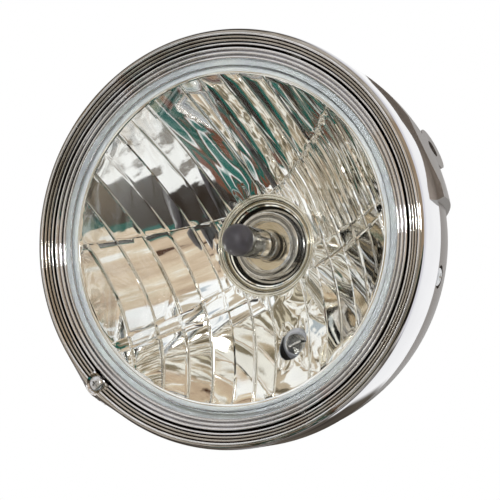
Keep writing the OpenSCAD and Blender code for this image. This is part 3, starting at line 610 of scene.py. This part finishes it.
@dataclass
class Shell:
    """The bowl behind the rim with its bracket pads, dimples and cable hole, in mm."""

    outer_r: float = 99.5
    wall: float = 1.2
    front_t: float = 18.0
    curve_t: float = 30.0
    back_t: float = 124.0
    dome: float = 97.0
    pad_shift: tuple[float, float, float] = (3.7, -7.0, -4.0)
    pad_face: float = 101.5
    pad_half: float = 28.0
    pad_top: float = 72.0
    pad_back_t: float = 78.0
    boss_r: float = 10.5
    boss_h: float = 6.5
    boss_sink: float = 0.04
    bolt_r: float = 4.2
    cable_r: float = 13.0
    dimple: float = 1.9
    screw_angle: float = 36.5
    screw_t: float = 34.0
    head_r: float = 4.6
    steps: int = 192

    def _dome(self, inset: float, grow_front: float = 0.0) -> Mesh:
        """The closed dome, inset by a wall."""
        radius, length, back = self.outer_r - inset, self.dome - inset, self.back_t - inset
        points: list[Point] = [(0, self.front_t - grow_front), (radius, self.front_t - grow_front)]
        for i in range(38):
            turn = math.radians(2 * i)
            if self.curve_t + length * math.sin(turn) < back:
                points.append((radius * math.cos(turn), self.curve_t + length * math.sin(turn)))
        edge = (back - self.curve_t) / length
        points += [(radius * math.sqrt(1 - edge * edge), back), (0, back)]
        return turned(points, self.steps, closed=False)

    def _shifted(self, side: int, inset: float) -> Mesh:
        """The dome moved outwards, down and forwards, cut to its window."""
        bm = self._dome(inset)
        shift = Vector((side * self.pad_shift[0], self.pad_shift[1], self.pad_shift[2])) * MM
        bmesh.ops.translate(bm, vec=shift, verts=bm.verts)
        low = Vector((0, lamp_y(24.3 + inset), (inset - self.pad_half) * MM))
        high = Vector(((self.pad_face - inset) * MM, lamp_y(self.pad_back_t - inset), (self.pad_top - inset) * MM))
        for place, way in (
            (low, Vector((-side, 0, 0))), (low, Vector((0, -1, 0))), (low, Vector((0, 0, -1))),
            (Vector((side * high.x, high.y, high.z)), Vector((side, 0, 0))),
            (high, Vector((0, 1, 0))), (high, Vector((0, 0, 1))),
        ):
            everything = bm.verts[:] + bm.edges[:] + bm.faces[:]
            found = bmesh.ops.bisect_plane(
                bm, geom=everything, plane_co=place, plane_no=way, clear_outer=True, dist=1e-7
            )
            edges = [e for e in found["geom_cut"] if isinstance(e, bmesh.types.BMEdge)]
            if edges:
                bmesh.ops.holes_fill(bm, edges=edges, sides=0)
        return tidy(bm)

    def _spoke(self, angle: float, low: float, high: float, radius: float) -> Mesh:
        """A cylinder that points outwards at an angle round the lamp's axis."""
        way = Vector((math.cos(math.radians(angle)), 0, math.sin(math.radians(angle))))
        base = Vector((0, lamp_y(self.screw_t), 0))
        return rod(radius * MM, base + way * low * MM, base + way * high * MM, 64)

    def build(self) -> None:
        """Builds the shell from domes, pads, bosses, dimples and holes."""
        bm = self._dome(0.0)
        for side in (-1, 1):
            bm = carved(bm, self._shifted(side, 0.0), "UNION")
        bm = carved(bm, self._dome(self.wall, 3.0))
        for side in (-1, 1):
            bm = carved(bm, self._shifted(side, self.wall))
        dimple_r, floor_r = self.head_r + 1, self.outer_r - self.dimple
        for side in (-1, 1):
            inner = Vector((side * (self.pad_face - self.boss_h) * MM, 0, 0))
            outer = Vector((side * (self.pad_face - self.boss_sink) * MM, 0, 0))
            bm = carved(bm, rod(self.boss_r * MM, inner, outer, 64), "UNION")
            bm = carved(bm, rod(self.bolt_r * MM, inner * 0.9, outer * 1.1, 64))
        for angle in (-self.screw_angle, 180 + self.screw_angle):
            bm = carved(bm, self._spoke(angle, floor_r - self.wall, self.outer_r - 0.6, dimple_r + self.wall), "UNION")
            bm = carved(bm, self._spoke(angle, floor_r, floor_r + 8, dimple_r))
            bm = carved(bm, self._spoke(angle, floor_r - 5, floor_r + 8, 2.7))
        bm = carved(bm, drum(self.cable_r, self.back_t - 8, self.back_t + 8, 64))
        piece("shell_coated", tidy(bm), Body.HOUSING, SHELL_COAT, ["shell"], 25.0)

    def build_screws(self) -> None:
        """Rim screws with a crowned head, a cross recess and a thread."""
        for name, angle in (("right", -self.screw_angle), ("left", 180 + self.screw_angle)):
            way = Vector((math.cos(math.radians(angle)), 0, math.sin(math.radians(angle))))
            turn = way.to_track_quat("Z", "Y").to_matrix().to_4x4()
            base = Vector((0, lamp_y(self.screw_t), 0))
            seat = self.outer_r - self.dimple
            head = CrossScrew(self.head_r, 2.2, 2.05, 9.8).mesh()
            bmesh.ops.transform(head, matrix=Matrix.Translation(base + way * seat * MM) @ turn, verts=head.verts)
            piece(f"rim_screw_{name}_cut", head, Body.HOUSING, SCREW_STEEL, [f"rim_screw_{name}"])


@dataclass
class CrossScrew:
    """A screw whose head sits on z = 0 and points along +Z, in mm."""

    head_r: float
    head_h: float
    shank_r: float
    length: float
    pitch: float = 0.7

    def mesh(self) -> Mesh:
        """Turns the crowned head and the ridged shank, then sinks the cross."""
        bm = bmesh.new()
        crown = [
            (self.head_r * math.cos(math.radians(9 * i)), self.head_h * (0.35 + 0.65 * math.sin(math.radians(9 * i))))
            for i in range(11)
        ]
        points = [(0.0, -self.length), (self.shank_r * 0.7, -self.length)]
        turns = int((self.length - 1.5) / self.pitch)
        for i in range(turns):
            low = -self.length + 0.5 + i * self.pitch
            points += [(self.shank_r * 0.86, low), (self.shank_r, low + self.pitch / 2)]
        points += [(self.shank_r * 0.86, -0.6), (self.shank_r * 0.86, 0.0), (self.head_r, 0.0)] + crown
        points[-1] = (0.0, crown[-1][1])
        verts = [bm.verts.new((r * MM, 0, h * MM)) for r, h in points]
        edges = [bm.edges.new(pair) for pair in zip(verts, verts[1:])]
        bmesh.ops.spin(bm, geom=verts + edges, cent=(0, 0, 0), axis=(0, 0, 1), angle=math.tau, steps=48, use_merge=True)
        tidy(bm)
        for turn in (0.0, math.pi / 2):
            tool = bmesh.new()
            bmesh.ops.create_cube(tool, size=1.0)
            size = Vector((self.head_r * 1.05, self.head_r * 0.2, self.head_h)) * MM
            bmesh.ops.scale(tool, vec=size, verts=tool.verts)
            bmesh.ops.scale(tool, vec=(0.55, 0.7, 1), verts=[v for v in tool.verts if v.co.z < 0])
            bmesh.ops.translate(tool, vec=(0, 0, self.head_h * 0.95 * MM), verts=tool.verts)
            bmesh.ops.rotate(tool, cent=(0, 0, 0), matrix=Matrix.Rotation(turn, 3, "Z"), verts=tool.verts)
            bm = carved(bm, tool)
        return tidy(bm)


# ---------------------------------------------------------------- lens unit


@dataclass
class Mirror:
    """The fluted reflector, in mm; the same formula as the solid's, with finer flutes."""

    mouth_r: float = 80.0
    mouth_t: float = 5.0
    lip_r: float = 82.2
    focal: float = 27.7
    flute_w: float = 10.15
    flutes: int = 8
    sag: float = 0.5
    step: float = 0.35
    crest: float = 0.4
    edge: float = 0.45
    flat_t: float = 57.2
    neck_out_r: float = 26.8
    side_z: float = -56.0
    side_r: float = 8.0
    cuts: int = 12
    row_cuts: tuple[int, ...] = (18, 6, 16, 18)
    fan: float = 0.165
    wall: float = 1.4

    def bowl_t(self, rr: float) -> float:
        """Depth of the plain bowl at a squared distance from the axis."""
        return self.mouth_t + (self.mouth_r**2 - rr) / (4 * self.focal)

    def row_edge(self, k: int, x: float) -> float:
        """Height of an edge line between two rows of fields."""
        chord = math.sqrt(max(0.0, self.mouth_r**2 - x * x))
        line = (-chord, -21.5 - 0.05 * abs(x), -7 - self.fan * abs(x), 20.6 + self.fan * abs(x), chord)[k]
        return max(-chord + k * 0.9, min(chord - (4 - k) * 0.9, line))

    @staticmethod
    def plain(c: int, k: int) -> bool:
        """The upper and lower middle fields have no flutes."""
        return c in (-1, 0) and k in (0, 3)

    def bulge(self, c: int, k: int, u: float, v: float) -> float:
        """Relief of a field: c and k name it, u runs across it and v up it."""
        if self.plain(c, k):
            return 0.0
        if c > 1 and k == 2:
            return -0.6 * self.sag * (1 - math.cos(2 * math.tau * u + 0.9 * math.sin(math.tau * v))) / 2
        share = 1.0 if c > 0 and k == 3 else (0.35, 0.3, 0.4, 0.5)[k]
        lean = 0.65 * math.sin(2.4 * c + 1.7 * k) * (u - 0.5) + 0.5 * math.sin(4.1 * c + 2.3 * k + 1) * (v - 0.5)
        return lean - share * self.sag * (1 - (2 * u - 1) ** 2)

    def offset(self, c: int, k: int) -> float:
        """Step of a field against its neighbours."""
        if self.plain(c, k):
            return 0.0
        return self.step * ((0.4, -0.5, 0.6, 0.0)[k] + (0.5 if abs(c + 0.5) % 2 > 1 else 0.0))

    def front(self) -> Mesh:
        """One grid, moved so that its columns and rows follow the fields."""
        cols = [(c, i / self.cuts) for c in range(-self.flutes, self.flutes) for i in range(-1, self.cuts + 1)]
        rows = [(k, i / n) for k, n in enumerate(self.row_cuts) for i in range(-1, n + 1)]
        bm = bmesh.new()
        bmesh.ops.create_grid(bm, x_segments=len(cols) - 1, y_segments=len(rows) - 1, size=1.0)
        limit = self.mouth_r - 0.6
        for vert in bm.verts:
            c, u = cols[round((vert.co.x + 1) / 2 * (len(cols) - 1))]
            k, v = rows[round((vert.co.y + 1) / 2 * (len(rows) - 1))]
            x = self.flute_w * c + (0 if u < 0 else self.edge + (self.flute_w - 2 * self.edge) * u)
            x = max(-limit, min(limit, x))
            low = self.row_edge(k, x) + (self.edge if k else 0)
            high = self.row_edge(k + 1, x) - (self.edge if k < 3 else 0)
            z = self.row_edge(k, x) if v < 0 else low + (high - low) * v
            t = self.bowl_t(x * x + z * z)
            if u < 0 and not (c == 0 and k in (0, 3)) or v < 0 < k:
                t -= self.crest
            elif u >= 0 and v >= 0:
                t += self.bulge(c, k, u, v) + self.offset(c, k)
            vert.co = Vector((x * MM, lamp_y(max(self.mouth_t + 0.4, min(self.flat_t, t))), z * MM))
        bmesh.ops.remove_doubles(bm, verts=bm.verts, dist=2e-5)
        return bm

    @staticmethod
    def pierce(bm: Mesh, z: float, radius: float) -> None:
        """Opens a round hole in the thin mirror and pulls its edge onto the circle.

        Args:
            bm: the mirror's front.
            z: height of the hole's centre, in mm.
            radius: the hole's radius, in mm.
        """
        centre = Vector((0, 0, z * MM))

        def flat(place: Vector) -> Vector:
            """The way from the hole's axis to a place."""
            return Vector((place.x, 0, place.z)) - centre

        inside = [f for f in bm.faces if flat(f.calc_center_median()).length < radius * MM]
        bmesh.ops.delete(bm, geom=inside, context="FACES")
        for vert in bm.verts:
            way = flat(vert.co)
            if vert.is_boundary and way.length < radius * 1.25 * MM:
                way = way.normalized() * radius * MM
                vert.co = Vector((centre.x + way.x, vert.co.y, centre.z + way.z))

    def build(self) -> None:
        """Builds the mirror as one thin moulding with its lip and flange, pierced for the neck and the side lamp."""
        bm = self.front()
        self.pierce(bm, 0.0, self.neck_out_r - 0.3)
        self.pierce(bm, self.side_z, self.side_r)
        bmesh.ops.recalc_face_normals(bm, faces=bm.faces)
        bm.faces.ensure_lookup_table()
        if sum(f.normal.y for f in bm.faces) > 0:
            bmesh.ops.reverse_faces(bm, faces=bm.faces)
        walls = bmesh.ops.extrude_face_region(bm, geom=bm.faces[:])
        moved = [g for g in walls["geom"] if isinstance(g, bmesh.types.BMVert)]
        bmesh.ops.translate(bm, vec=(0, self.wall * MM, 0), verts=moved)
        tidy(bm)
        lip = turned(
            [(self.mouth_r - 0.4, 6.4), (self.mouth_r - 0.4, self.mouth_t + 0.3), (self.mouth_r, self.mouth_t)]
            + arc((self.lip_r - 0.6, self.mouth_t + 0.6), 0.6, -90, 0, 6)
            + [(self.lip_r, 8), (90.4, 8), (90.4, 10.5), (self.mouth_r - 0.4, 10.5)],
            288,
        )
        piece("reflector_mirror", joined(bm, lip), Body.BEAM, MIRROR, ["reflector"], 38.0)

    def build_seal(self) -> None:
        """Turns the pale seal between the mirror's lip and the lens."""
        points = [
            (80.9, self.mouth_t - 0.02), (81.1, self.mouth_t - 0.3), (82.5, self.mouth_t - 0.3), (82.9, self.mouth_t),
            (82.9, 6.9), (82.3, 6.9), (82.3, self.mouth_t - 0.02),
        ]
        piece("mouth_seal_moulded", turned(points, 288), Body.BEAM, SEAL, sharp=50.0)

    def build_neck(self) -> None:
        """Turns the ringed neck round the bulb."""
        out, front = self.neck_out_r, self.flat_t - 0.9
        points: list[Point] = [(out, front + 2.2), (out, front + 0.6)]
        points += arc((out - 0.6, front + 0.5), 0.6, 360, 180, 8) + arc((out - 1.8, front + 0.9), 0.6, 360, 180, 8)
        points += [(24.0, front + 1.3), (23.4, front + 2.4), (22.9, front + 3.2)]
        points += arc((22.3, front + 3.2), 0.6, 360, 180, 8) + [(21.4, front + 3.9), (20.6, front + 4.2)]
        points += [(20.4, 62.8), (19.4, 62.8), (19.25, 63.5), (30, 63.5), (30, front + 3.6)]
        piece("bulb_seat_turned", turned(points, 192), Body.BEAM, YELLOW_ZINC, ["bulb_seat"])


@dataclass
class Lens:
    """The clear lens, in mm."""

    skirt_r: float = 86.0
    flange_r: float = 89.0
    lip_t: float = 4.0
    back_t: float = 6.97
    wall: float = 3.0
    shoulder: float = 6.5
    dome: float = 6.0

    def outline(self, inset: float) -> list[Point]:
        """Outline from the skirt's edge to the tip, inset by a wall."""
        radius = self.shoulder - inset
        centre = (self.skirt_r - self.shoulder, self.lip_t - 1)
        points = arc(centre, radius, 0, -60, 14)
        base_r, base_t = points[-1]
        tip_t = base_t - self.dome
        for i in range(1, 28):
            share = 1 - i / 28
            points.append((base_r * share, tip_t + (base_t - tip_t) * share * share))
        return points + [(0.0, tip_t)]

    def build(self) -> None:
        """Turns the lens as one closed solid."""
        points: list[Point] = [
            (self.skirt_r - self.wall, self.back_t), (self.flange_r, self.back_t),
            (self.flange_r, self.lip_t), (self.skirt_r, self.lip_t),
        ]
        points += self.outline(0.0) + self.outline(self.wall)[::-1]
        piece("lens_clear", turned(points, 256), Body.BEAM, LENS_GLASS, ["lens"], 50.0)


@dataclass
class MainBulb:
    """The main bulb, in mm."""

    seat_t: float = 63.5
    radius: float = 7.8
    length: float = 49.5
    cap_len: float = 6.6
    wall: float = 1.0
    collar_r: float = 17.6
    dish_r: float = 12.8
    flange_r: float = 21.5
    tube_r: float = 13.5
    shield_z: float = -0.8
    coil_turns: int = 9
    coil_r: float = 0.6

    def _dome(self, radius: float, tip: float) -> list[Point]:
        """Half round end from the tip backwards."""
        turns = [math.radians(90 * i / 16) for i in range(17)]
        return [(radius * math.sin(q), tip + radius - radius * math.cos(q)) for q in turns]

    def build_glass(self) -> None:
        """Turns the quartz glass and the dark cap on its end."""
        tip, dish = self.seat_t - self.length, self.seat_t - 1.5
        inner = self.radius - self.wall
        points = self._dome(self.radius, tip) + [
            (self.radius, dish - 4), (4.5, dish - 1), (4.5, dish), (0, dish), (0, dish - 3), (3, dish - 3.5),
            (inner, dish - 7),
        ]
        points += self._dome(inner, tip + self.wall)[::-1]
        piece("bulb_glass_clear", turned(points, 72), Body.BEAM, BULB_GLASS, ["bulb_glass"], 40.0)
        cap_r, end = self.radius + 0.25, tip + self.cap_len
        points = self._dome(cap_r, tip - 0.25) + [(cap_r, end - 0.3), (cap_r - 0.12, end), (self.radius + 0.02, end)]
        points += self._dome(self.radius + 0.02, tip - 0.02)[::-1]
        piece("bulb_cap_painted", turned(points, 72), Body.BEAM, CAP_PAINT, ["bulb_cap"], 40.0)

    def build_base(self) -> None:
        """Turns the collar with its dish, flange and skirt."""
        front, dish, back = self.seat_t - 5.5, self.seat_t - 1.5, self.seat_t + 12
        points: list[Point] = [(0, dish), (5.2, dish), (5.6, dish - 0.5), (8.2, dish - 0.5), (8.6, dish)]
        points += [(self.dish_r, dish), (self.dish_r, front + 0.4)]
        points += arc((self.dish_r + 0.4, front + 0.4), 0.4, 180, 270, 4)
        points += [(14.6, front), (14.8, front + 0.35), (15.6, front + 0.35), (15.8, front)]
        points += arc((self.collar_r - 0.6, front + 0.6), 0.6, -90, 0, 5)
        points += [
            (self.collar_r, self.seat_t), (self.flange_r, self.seat_t), (self.flange_r, self.seat_t + 1.2),
            (self.tube_r, self.seat_t + 1.2), (self.tube_r, back), (self.tube_r - 1.2, back),
            (self.tube_r - 1.2, self.seat_t + 2.2), (0, self.seat_t + 2.2),
        ]
        bm = turned(points, 128, closed=False)
        tool = bmesh.new()
        bmesh.ops.create_cube(tool, size=1.0)
        bmesh.ops.scale(tool, vec=Vector((60, 5.4, 10)) * MM, verts=tool.verts)
        bmesh.ops.translate(tool, vec=(0, lamp_y(self.seat_t - 2.75), -19.5 * MM), verts=tool.verts)
        bm = carved(bm, tool)
        piece("bulb_base_pressed", tidy(bm), Body.BEAM, BULB_STEEL, ["bulb_base"])

    def _wire(self, points: Sequence[Vector], radius: float) -> Mesh:
        """A wire through points, made of short rods."""
        return joined(*[rod(radius, a, b, 12) for a, b in zip(points, points[1:])])

    def build_wires(self) -> None:
        """Winds the two filaments."""
        for name, z, start in (("high", 0.3, self.seat_t - 25.5), ("dip", self.shield_z, self.seat_t - 33)):
            count = self.coil_turns * 10
            way = []
            for i in range(count + 1):
                turn, share = math.tau * i / 10, i / count
                x, up = self.coil_r * math.cos(turn), z + self.coil_r * math.sin(turn)
                way.append(Vector((x * MM, lamp_y(start + 0.1 + 4.8 * share), up * MM)))
            stands = ["bulb_filaments"] if name == "high" else []
            piece(f"filament_{name}", self._wire(way, 0.1 * MM), Body.BEAM, WIRE, stands, 60.0)


@dataclass
class SideLamp:
    """The side lamp under the main bulb, in mm."""

    z: float = -56.0
    radius: float = 5.0
    tip_t: float = 33.0
    seat_t: float = 46.0

    def build(self) -> None:
        """Turns the glass, its pressed end and the holder."""
        r, seat = self.radius, self.seat_t
        ends = [math.radians(90 * i / 12) for i in range(13)]
        points = [(r * math.sin(q), self.tip_t + r - r * math.cos(q)) for q in ends]
        points += [(r, seat + 2), (3, seat + 6), (0, seat + 6), (0, seat + 3), (r - 0.7, seat)]
        points += [((r - 0.7) * math.sin(q), self.tip_t + 0.7 + (r - 0.7) * (1 - math.cos(q))) for q in reversed(ends)]
        glass = turned(points, 56, 0, self.z)
        piece("side_glass_clear", glass, Body.BEAM, BULB_GLASS, ["side_bulb_glass"], 40.0)
        points = [(0, seat - 4.5), (2.6, seat - 4.2), (4.1, seat - 2.5), (4.1, seat - 1.5), (0, seat - 1.5)]
        pinch = turned(points, 48, 0, self.z, closed=False)
        piece("side_pinch_pressed", pinch, Body.BEAM, WIRE, sharp=50.0)
        points = [(r + 0.15, 39.3)] + arc((5.9, 39.5), 0.5, 180, 300, 5)
        points += [(6.8, 39.6), (7.85, 41), (7.85, seat), (9.5, seat), (9.5, seat + 1.5), (6.8, seat + 3)]
        points += [(6, seat + 15), (0, seat + 15), (0, seat + 6), (r + 0.15, seat + 6)]
        holder = turned(points, 64, 0, self.z)
        piece("side_holder_moulded", holder, Body.BEAM, GREY_PLASTIC, ["side_bulb_holder"])


# ---------------------------------------------------------------- adjuster


def build_adjuster(rings: Rings) -> None:
    """Cuts the adjuster screw with its crowned cross head."""
    x, z = rings.adjuster_place
    screw = CrossScrew(3.75, 2.4, 2.0, 17.8).mesh()
    turn = Matrix.Rotation(math.radians(90), 4, "X") @ Matrix.Rotation(math.radians(20), 4, "Z")
    place = Matrix.Translation((x * MM, lamp_y(rings.recess_t - 0.05), z * MM))
    bmesh.ops.transform(screw, matrix=place @ turn, verts=screw.verts)
    piece("adjuster_screw_cut", screw, Body.ADJUSTER, SCREW_STEEL, ["adjuster_screw"])


NODE_FINISHES: dict[str, Finish] = {
    "zinc": ZINC,
    "yellow_zinc": YELLOW_ZINC,
    "screw_steel": SCREW_STEEL,
    "black_rubber": RUBBER,
    "pale_seal": SEAL,
    "white_nylon": NYLON,
    "wire_metal": WIRE,
    "bulb_steel": BULB_STEEL,
    "black_plastic": BLACK_PLASTIC,
    "grey_plastic": GREY_PLASTIC,
    "contact_brass": BRASS,
    "chrome": CHROME,
    "shell_coat": SHELL_COAT,
    "mirror_coat": MIRROR,
    "lens_glass": LENS_GLASS,
    "bulb_glass": BULB_GLASS,
    "cap_paint": CAP_PAINT,
}


def dress_nodes() -> None:
    """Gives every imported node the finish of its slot."""
    for entry in frame["record"]["subparts"]:
        node = frame["nodes"][entry["node"]]
        finish = NODE_FINISHES[entry["material_slot"]]
        node.data.materials.clear()
        node.data.materials.append(finish.material())
        LOG.info("%s: dressed in %s", entry["node"], finish.name)


# ---------------------------------------------------------------- studio


TEAL: Colour = (0.012, 0.115, 0.095)
NEAR_BLACK: Colour = (0.028, 0.020, 0.016)
LILAC: Colour = (0.80, 0.79, 0.83)
WHITE: Colour = (1.0, 1.0, 1.0)


@dataclass
class Studio:
    """Camera, lights, surroundings and floor, in metres."""

    look_at: Vector = field(default_factory=lambda: Vector((0, -0.045, 0)))
    back: Vector = field(default_factory=lambda: Vector((0.3326, -0.9090, -0.2507)))
    right: Vector = field(default_factory=lambda: Vector((0.8270, 0.4090, -0.3857)))
    distance: float = 0.650
    lens: float = 98.1
    shift: tuple[float, float] = (0.0587, -0.0267)
    floor_z: float = -0.30

    def camera(self) -> None:
        """Puts the camera where the photograph was taken from."""
        data = bpy.data.cameras.new("camera")
        data.lens, data.sensor_width = self.lens, 36.0
        data.shift_x, data.shift_y = self.shift
        data.clip_start, data.clip_end = 0.01, 20.0
        made = bpy.data.objects.new("camera", data)
        bpy.context.scene.collection.objects.link(made)
        back = self.back.normalized()
        right = (self.right - self.right.dot(back) * back).normalized()
        up = back.cross(right)
        turn = Matrix((right, up, back)).transposed().to_4x4()
        made.matrix_world = Matrix.Translation(self.look_at + back * self.distance) @ turn
        bpy.context.scene.camera = made

    def world(self) -> None:
        """White for the camera; for metal and light, a pale room with a dark front and coloured things in it."""
        world = bpy.data.worlds.new("surroundings")
        bpy.context.scene.world = world
        world.use_nodes = True
        maker = NodeMaker(world.node_tree)
        way = maker.node("ShaderNodeTexCoord", out="Generated")
        split = maker.node("ShaderNodeSeparateXYZ", None, {"Vector": way})
        nodes = split.out.node.outputs
        x, y, z = (Socket(maker, nodes[i]) for i in range(3))
        broad = maker.noise(2.2, 3.0, way, 0.55) - 0.5
        fine = maker.noise(7.0, 4.0, way, 0.6)
        wavy_x, wavy_z = x + broad * 0.5, z + (fine - 0.5) * 0.22
        streaks = maker.noise(3.0, 3.0, maker.stretched(way, (2.6, 1.0, 0.7)), 0.6)
        long_streaks = maker.noise(2.4, 0.5, maker.stretched(way, (4.2, 1.2, 0.5)), 0.4)
        olive = maker.ramp(streaks, [
            (0.30, (0.05, 0.04, 0.03)), (0.40, (0.17, 0.14, 0.09)), (0.46, (0.34, 0.275, 0.19)),
            (0.49, (0.56, 0.46, 0.33)), (0.515, (1.0, 0.98, 0.94)), (0.55, (0.95, 0.93, 0.88)),
            (0.565, (0.27, 0.225, 0.15)), (0.62, (0.20, 0.165, 0.11)), (0.66, (0.70, 0.63, 0.50)),
        ])
        cream = maker.ramp(fine, [
            (0.34, (0.075, 0.035, 0.022)), (0.40, (0.58, 0.44, 0.32)), (0.52, (0.72, 0.57, 0.42)),
            (0.62, (0.82, 0.70, 0.54)), (0.68, (0.98, 0.96, 0.92)),
        ])
        window = maker.ramp(streaks, [
            (0.36, (0.16, 0.13, 0.09)), (0.40, (0.55, 0.46, 0.35)), (0.455, (0.62, 0.52, 0.40)),
            (0.47, (1.1, 1.1, 1.1)), (0.60, (1.1, 1.1, 1.12)), (0.63, (0.50, 0.56, 0.62)),
        ])
        stripes = maker.ramp(long_streaks, [
            (0.38, (0.16, 0.06, 0.036)), (0.43, TEAL), (0.50, (0.008, 0.075, 0.06)),
            (0.54, (0.17, 0.065, 0.04)), (0.57, (0.95, 0.96, 0.96)), (0.64, (0.02, 0.14, 0.12)),
        ])
        paper = maker.ramp(fine, [
            (0.40, (0.22, 0.20, 0.18)), (0.46, (0.98, 0.98, 0.98)), (0.62, WHITE), (0.66, (0.40, 0.38, 0.36)),
        ])
        hazy = maker.ramp(broad + 0.5, [
            (0.36, (0.05, 0.042, 0.036)), (0.46, (0.085, 0.072, 0.057)), (0.56, (0.14, 0.12, 0.096)),
            (0.62, (0.42, 0.41, 0.42)),
        ])
        seen = olive
        for share, colour in (
            (wavy_x.smooth(0.42, 0.47), cream),
            ((0 - wavy_x).smooth(0.50, 0.55), window),
            (wavy_z.smooth(0.34, 0.38), window),
            ((0 - wavy_z).smooth(0.42, 0.44), TEAL),
            ((0 - wavy_z).smooth(0.50, 0.53), NEAR_BLACK),
            ((0 - wavy_z).smooth(0.80, 0.83), paper),
            ((0 - wavy_x).smooth(0.12, 0.15) * (0 - wavy_z).smooth(0.40, 0.43), stripes),
            (y.smooth(-0.27, -0.22) * (0.3 - x).smooth(0.0, 0.06) * z.smooth(-0.62, -0.56), hazy),
            (y.smooth(0.02, 0.08), hazy),
            (y.smooth(-0.1, 0.1) * x.smooth(0.35, 0.5), LILAC),
            (y.smooth(0.55, 0.62) * x.smooth(-0.24, -0.18), WHITE),
        ):
            seen = maker.mix(share, seen, colour)
        path = maker.node("ShaderNodeLightPath")
        outs = path.out.node.outputs
        camera_ray = Socket(maker, outs["Is Camera Ray"])
        sky = maker.node("ShaderNodeBackground", None, {"Color": seen, "Strength": 1.0})
        white = maker.node("ShaderNodeBackground", None, {"Color": (*WHITE, 1.0), "Strength": 1.0})
        both = maker.node("ShaderNodeMixShader", None, {0: camera_ray, 1: sky, 2: white})
        maker.node("ShaderNodeOutputWorld", None, {"Surface": both})

    def lamp(self, name: str, place: Vector, size: float, power: float, mirrored: bool = True) -> None:
        """Adds a square soft lamp that looks at the headlight.

        Args:
            name: the lamp's name.
            place: where it stands, in metres.
            size: its side, in metres.
            power: its power, in watts.
            mirrored: whether metal and glass show it.
        """
        data = bpy.data.lights.new(name, "AREA")
        data.size, data.energy = size, power
        made = bpy.data.objects.new(name, data)
        bpy.context.scene.collection.objects.link(made)
        made.location, made.visible_glossy = place, mirrored
        made.rotation_euler = (self.look_at - place).to_track_quat("-Z", "Y").to_euler()

    def lamps(self) -> None:
        """Adds the flash beside the camera and a soft lamp above."""
        self.lamp("flash", Vector((0.24, -0.80, 0.0)), 0.06, 0.7)
        self.lamp("soft_top", Vector((-0.3, 0.3, 1.3)), 0.8, 4.0, mirrored=False)

    def floor(self) -> None:
        """Adds the pale floor, which keeps the object's shadow."""
        bm = bmesh.new()
        bmesh.ops.create_grid(bm, x_segments=8, y_segments=8, size=3.0)
        bmesh.ops.translate(bm, vec=(0, 0, self.floor_z), verts=bm.verts)
        mesh = bpy.data.meshes.new("floor")
        bm.to_mesh(mesh)
        bm.free()
        finish = Finish("floor_paint", (0.86, 0.86, 0.86), 0.0, 0.7, 0.02, 2.0, 0.01, 40.0, 0.0)
        mesh.materials.append(finish.material())
        made = bpy.data.objects.new("floor", mesh)
        bpy.context.scene.collection.objects.link(made)
        made.visible_glossy = made.visible_transmission = False

    def build(self) -> None:
        """Sets up the whole studio."""
        bpy.context.scene.view_settings.view_transform = "Standard"
        self.camera()
        self.world()
        self.lamps()
        self.floor()


def main() -> None:
    """Builds the studio and every piece in order."""
    logging.basicConfig(level=logging.INFO, format="%(message)s")
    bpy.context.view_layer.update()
    Studio().build()
    dress_nodes()
    rings = Rings()
    rings.build_rim()
    rings.build_ring()
    shell = Shell()
    shell.build()
    shell.build_screws()
    mirror = Mirror()
    mirror.build()
    mirror.build_neck()
    mirror.build_seal()
    Lens().build()
    bulb = MainBulb()
    bulb.build_glass()
    bulb.build_base()
    bulb.build_wires()
    SideLamp().build()
    build_adjuster(rings)


if __name__ == "__main__":
    main()
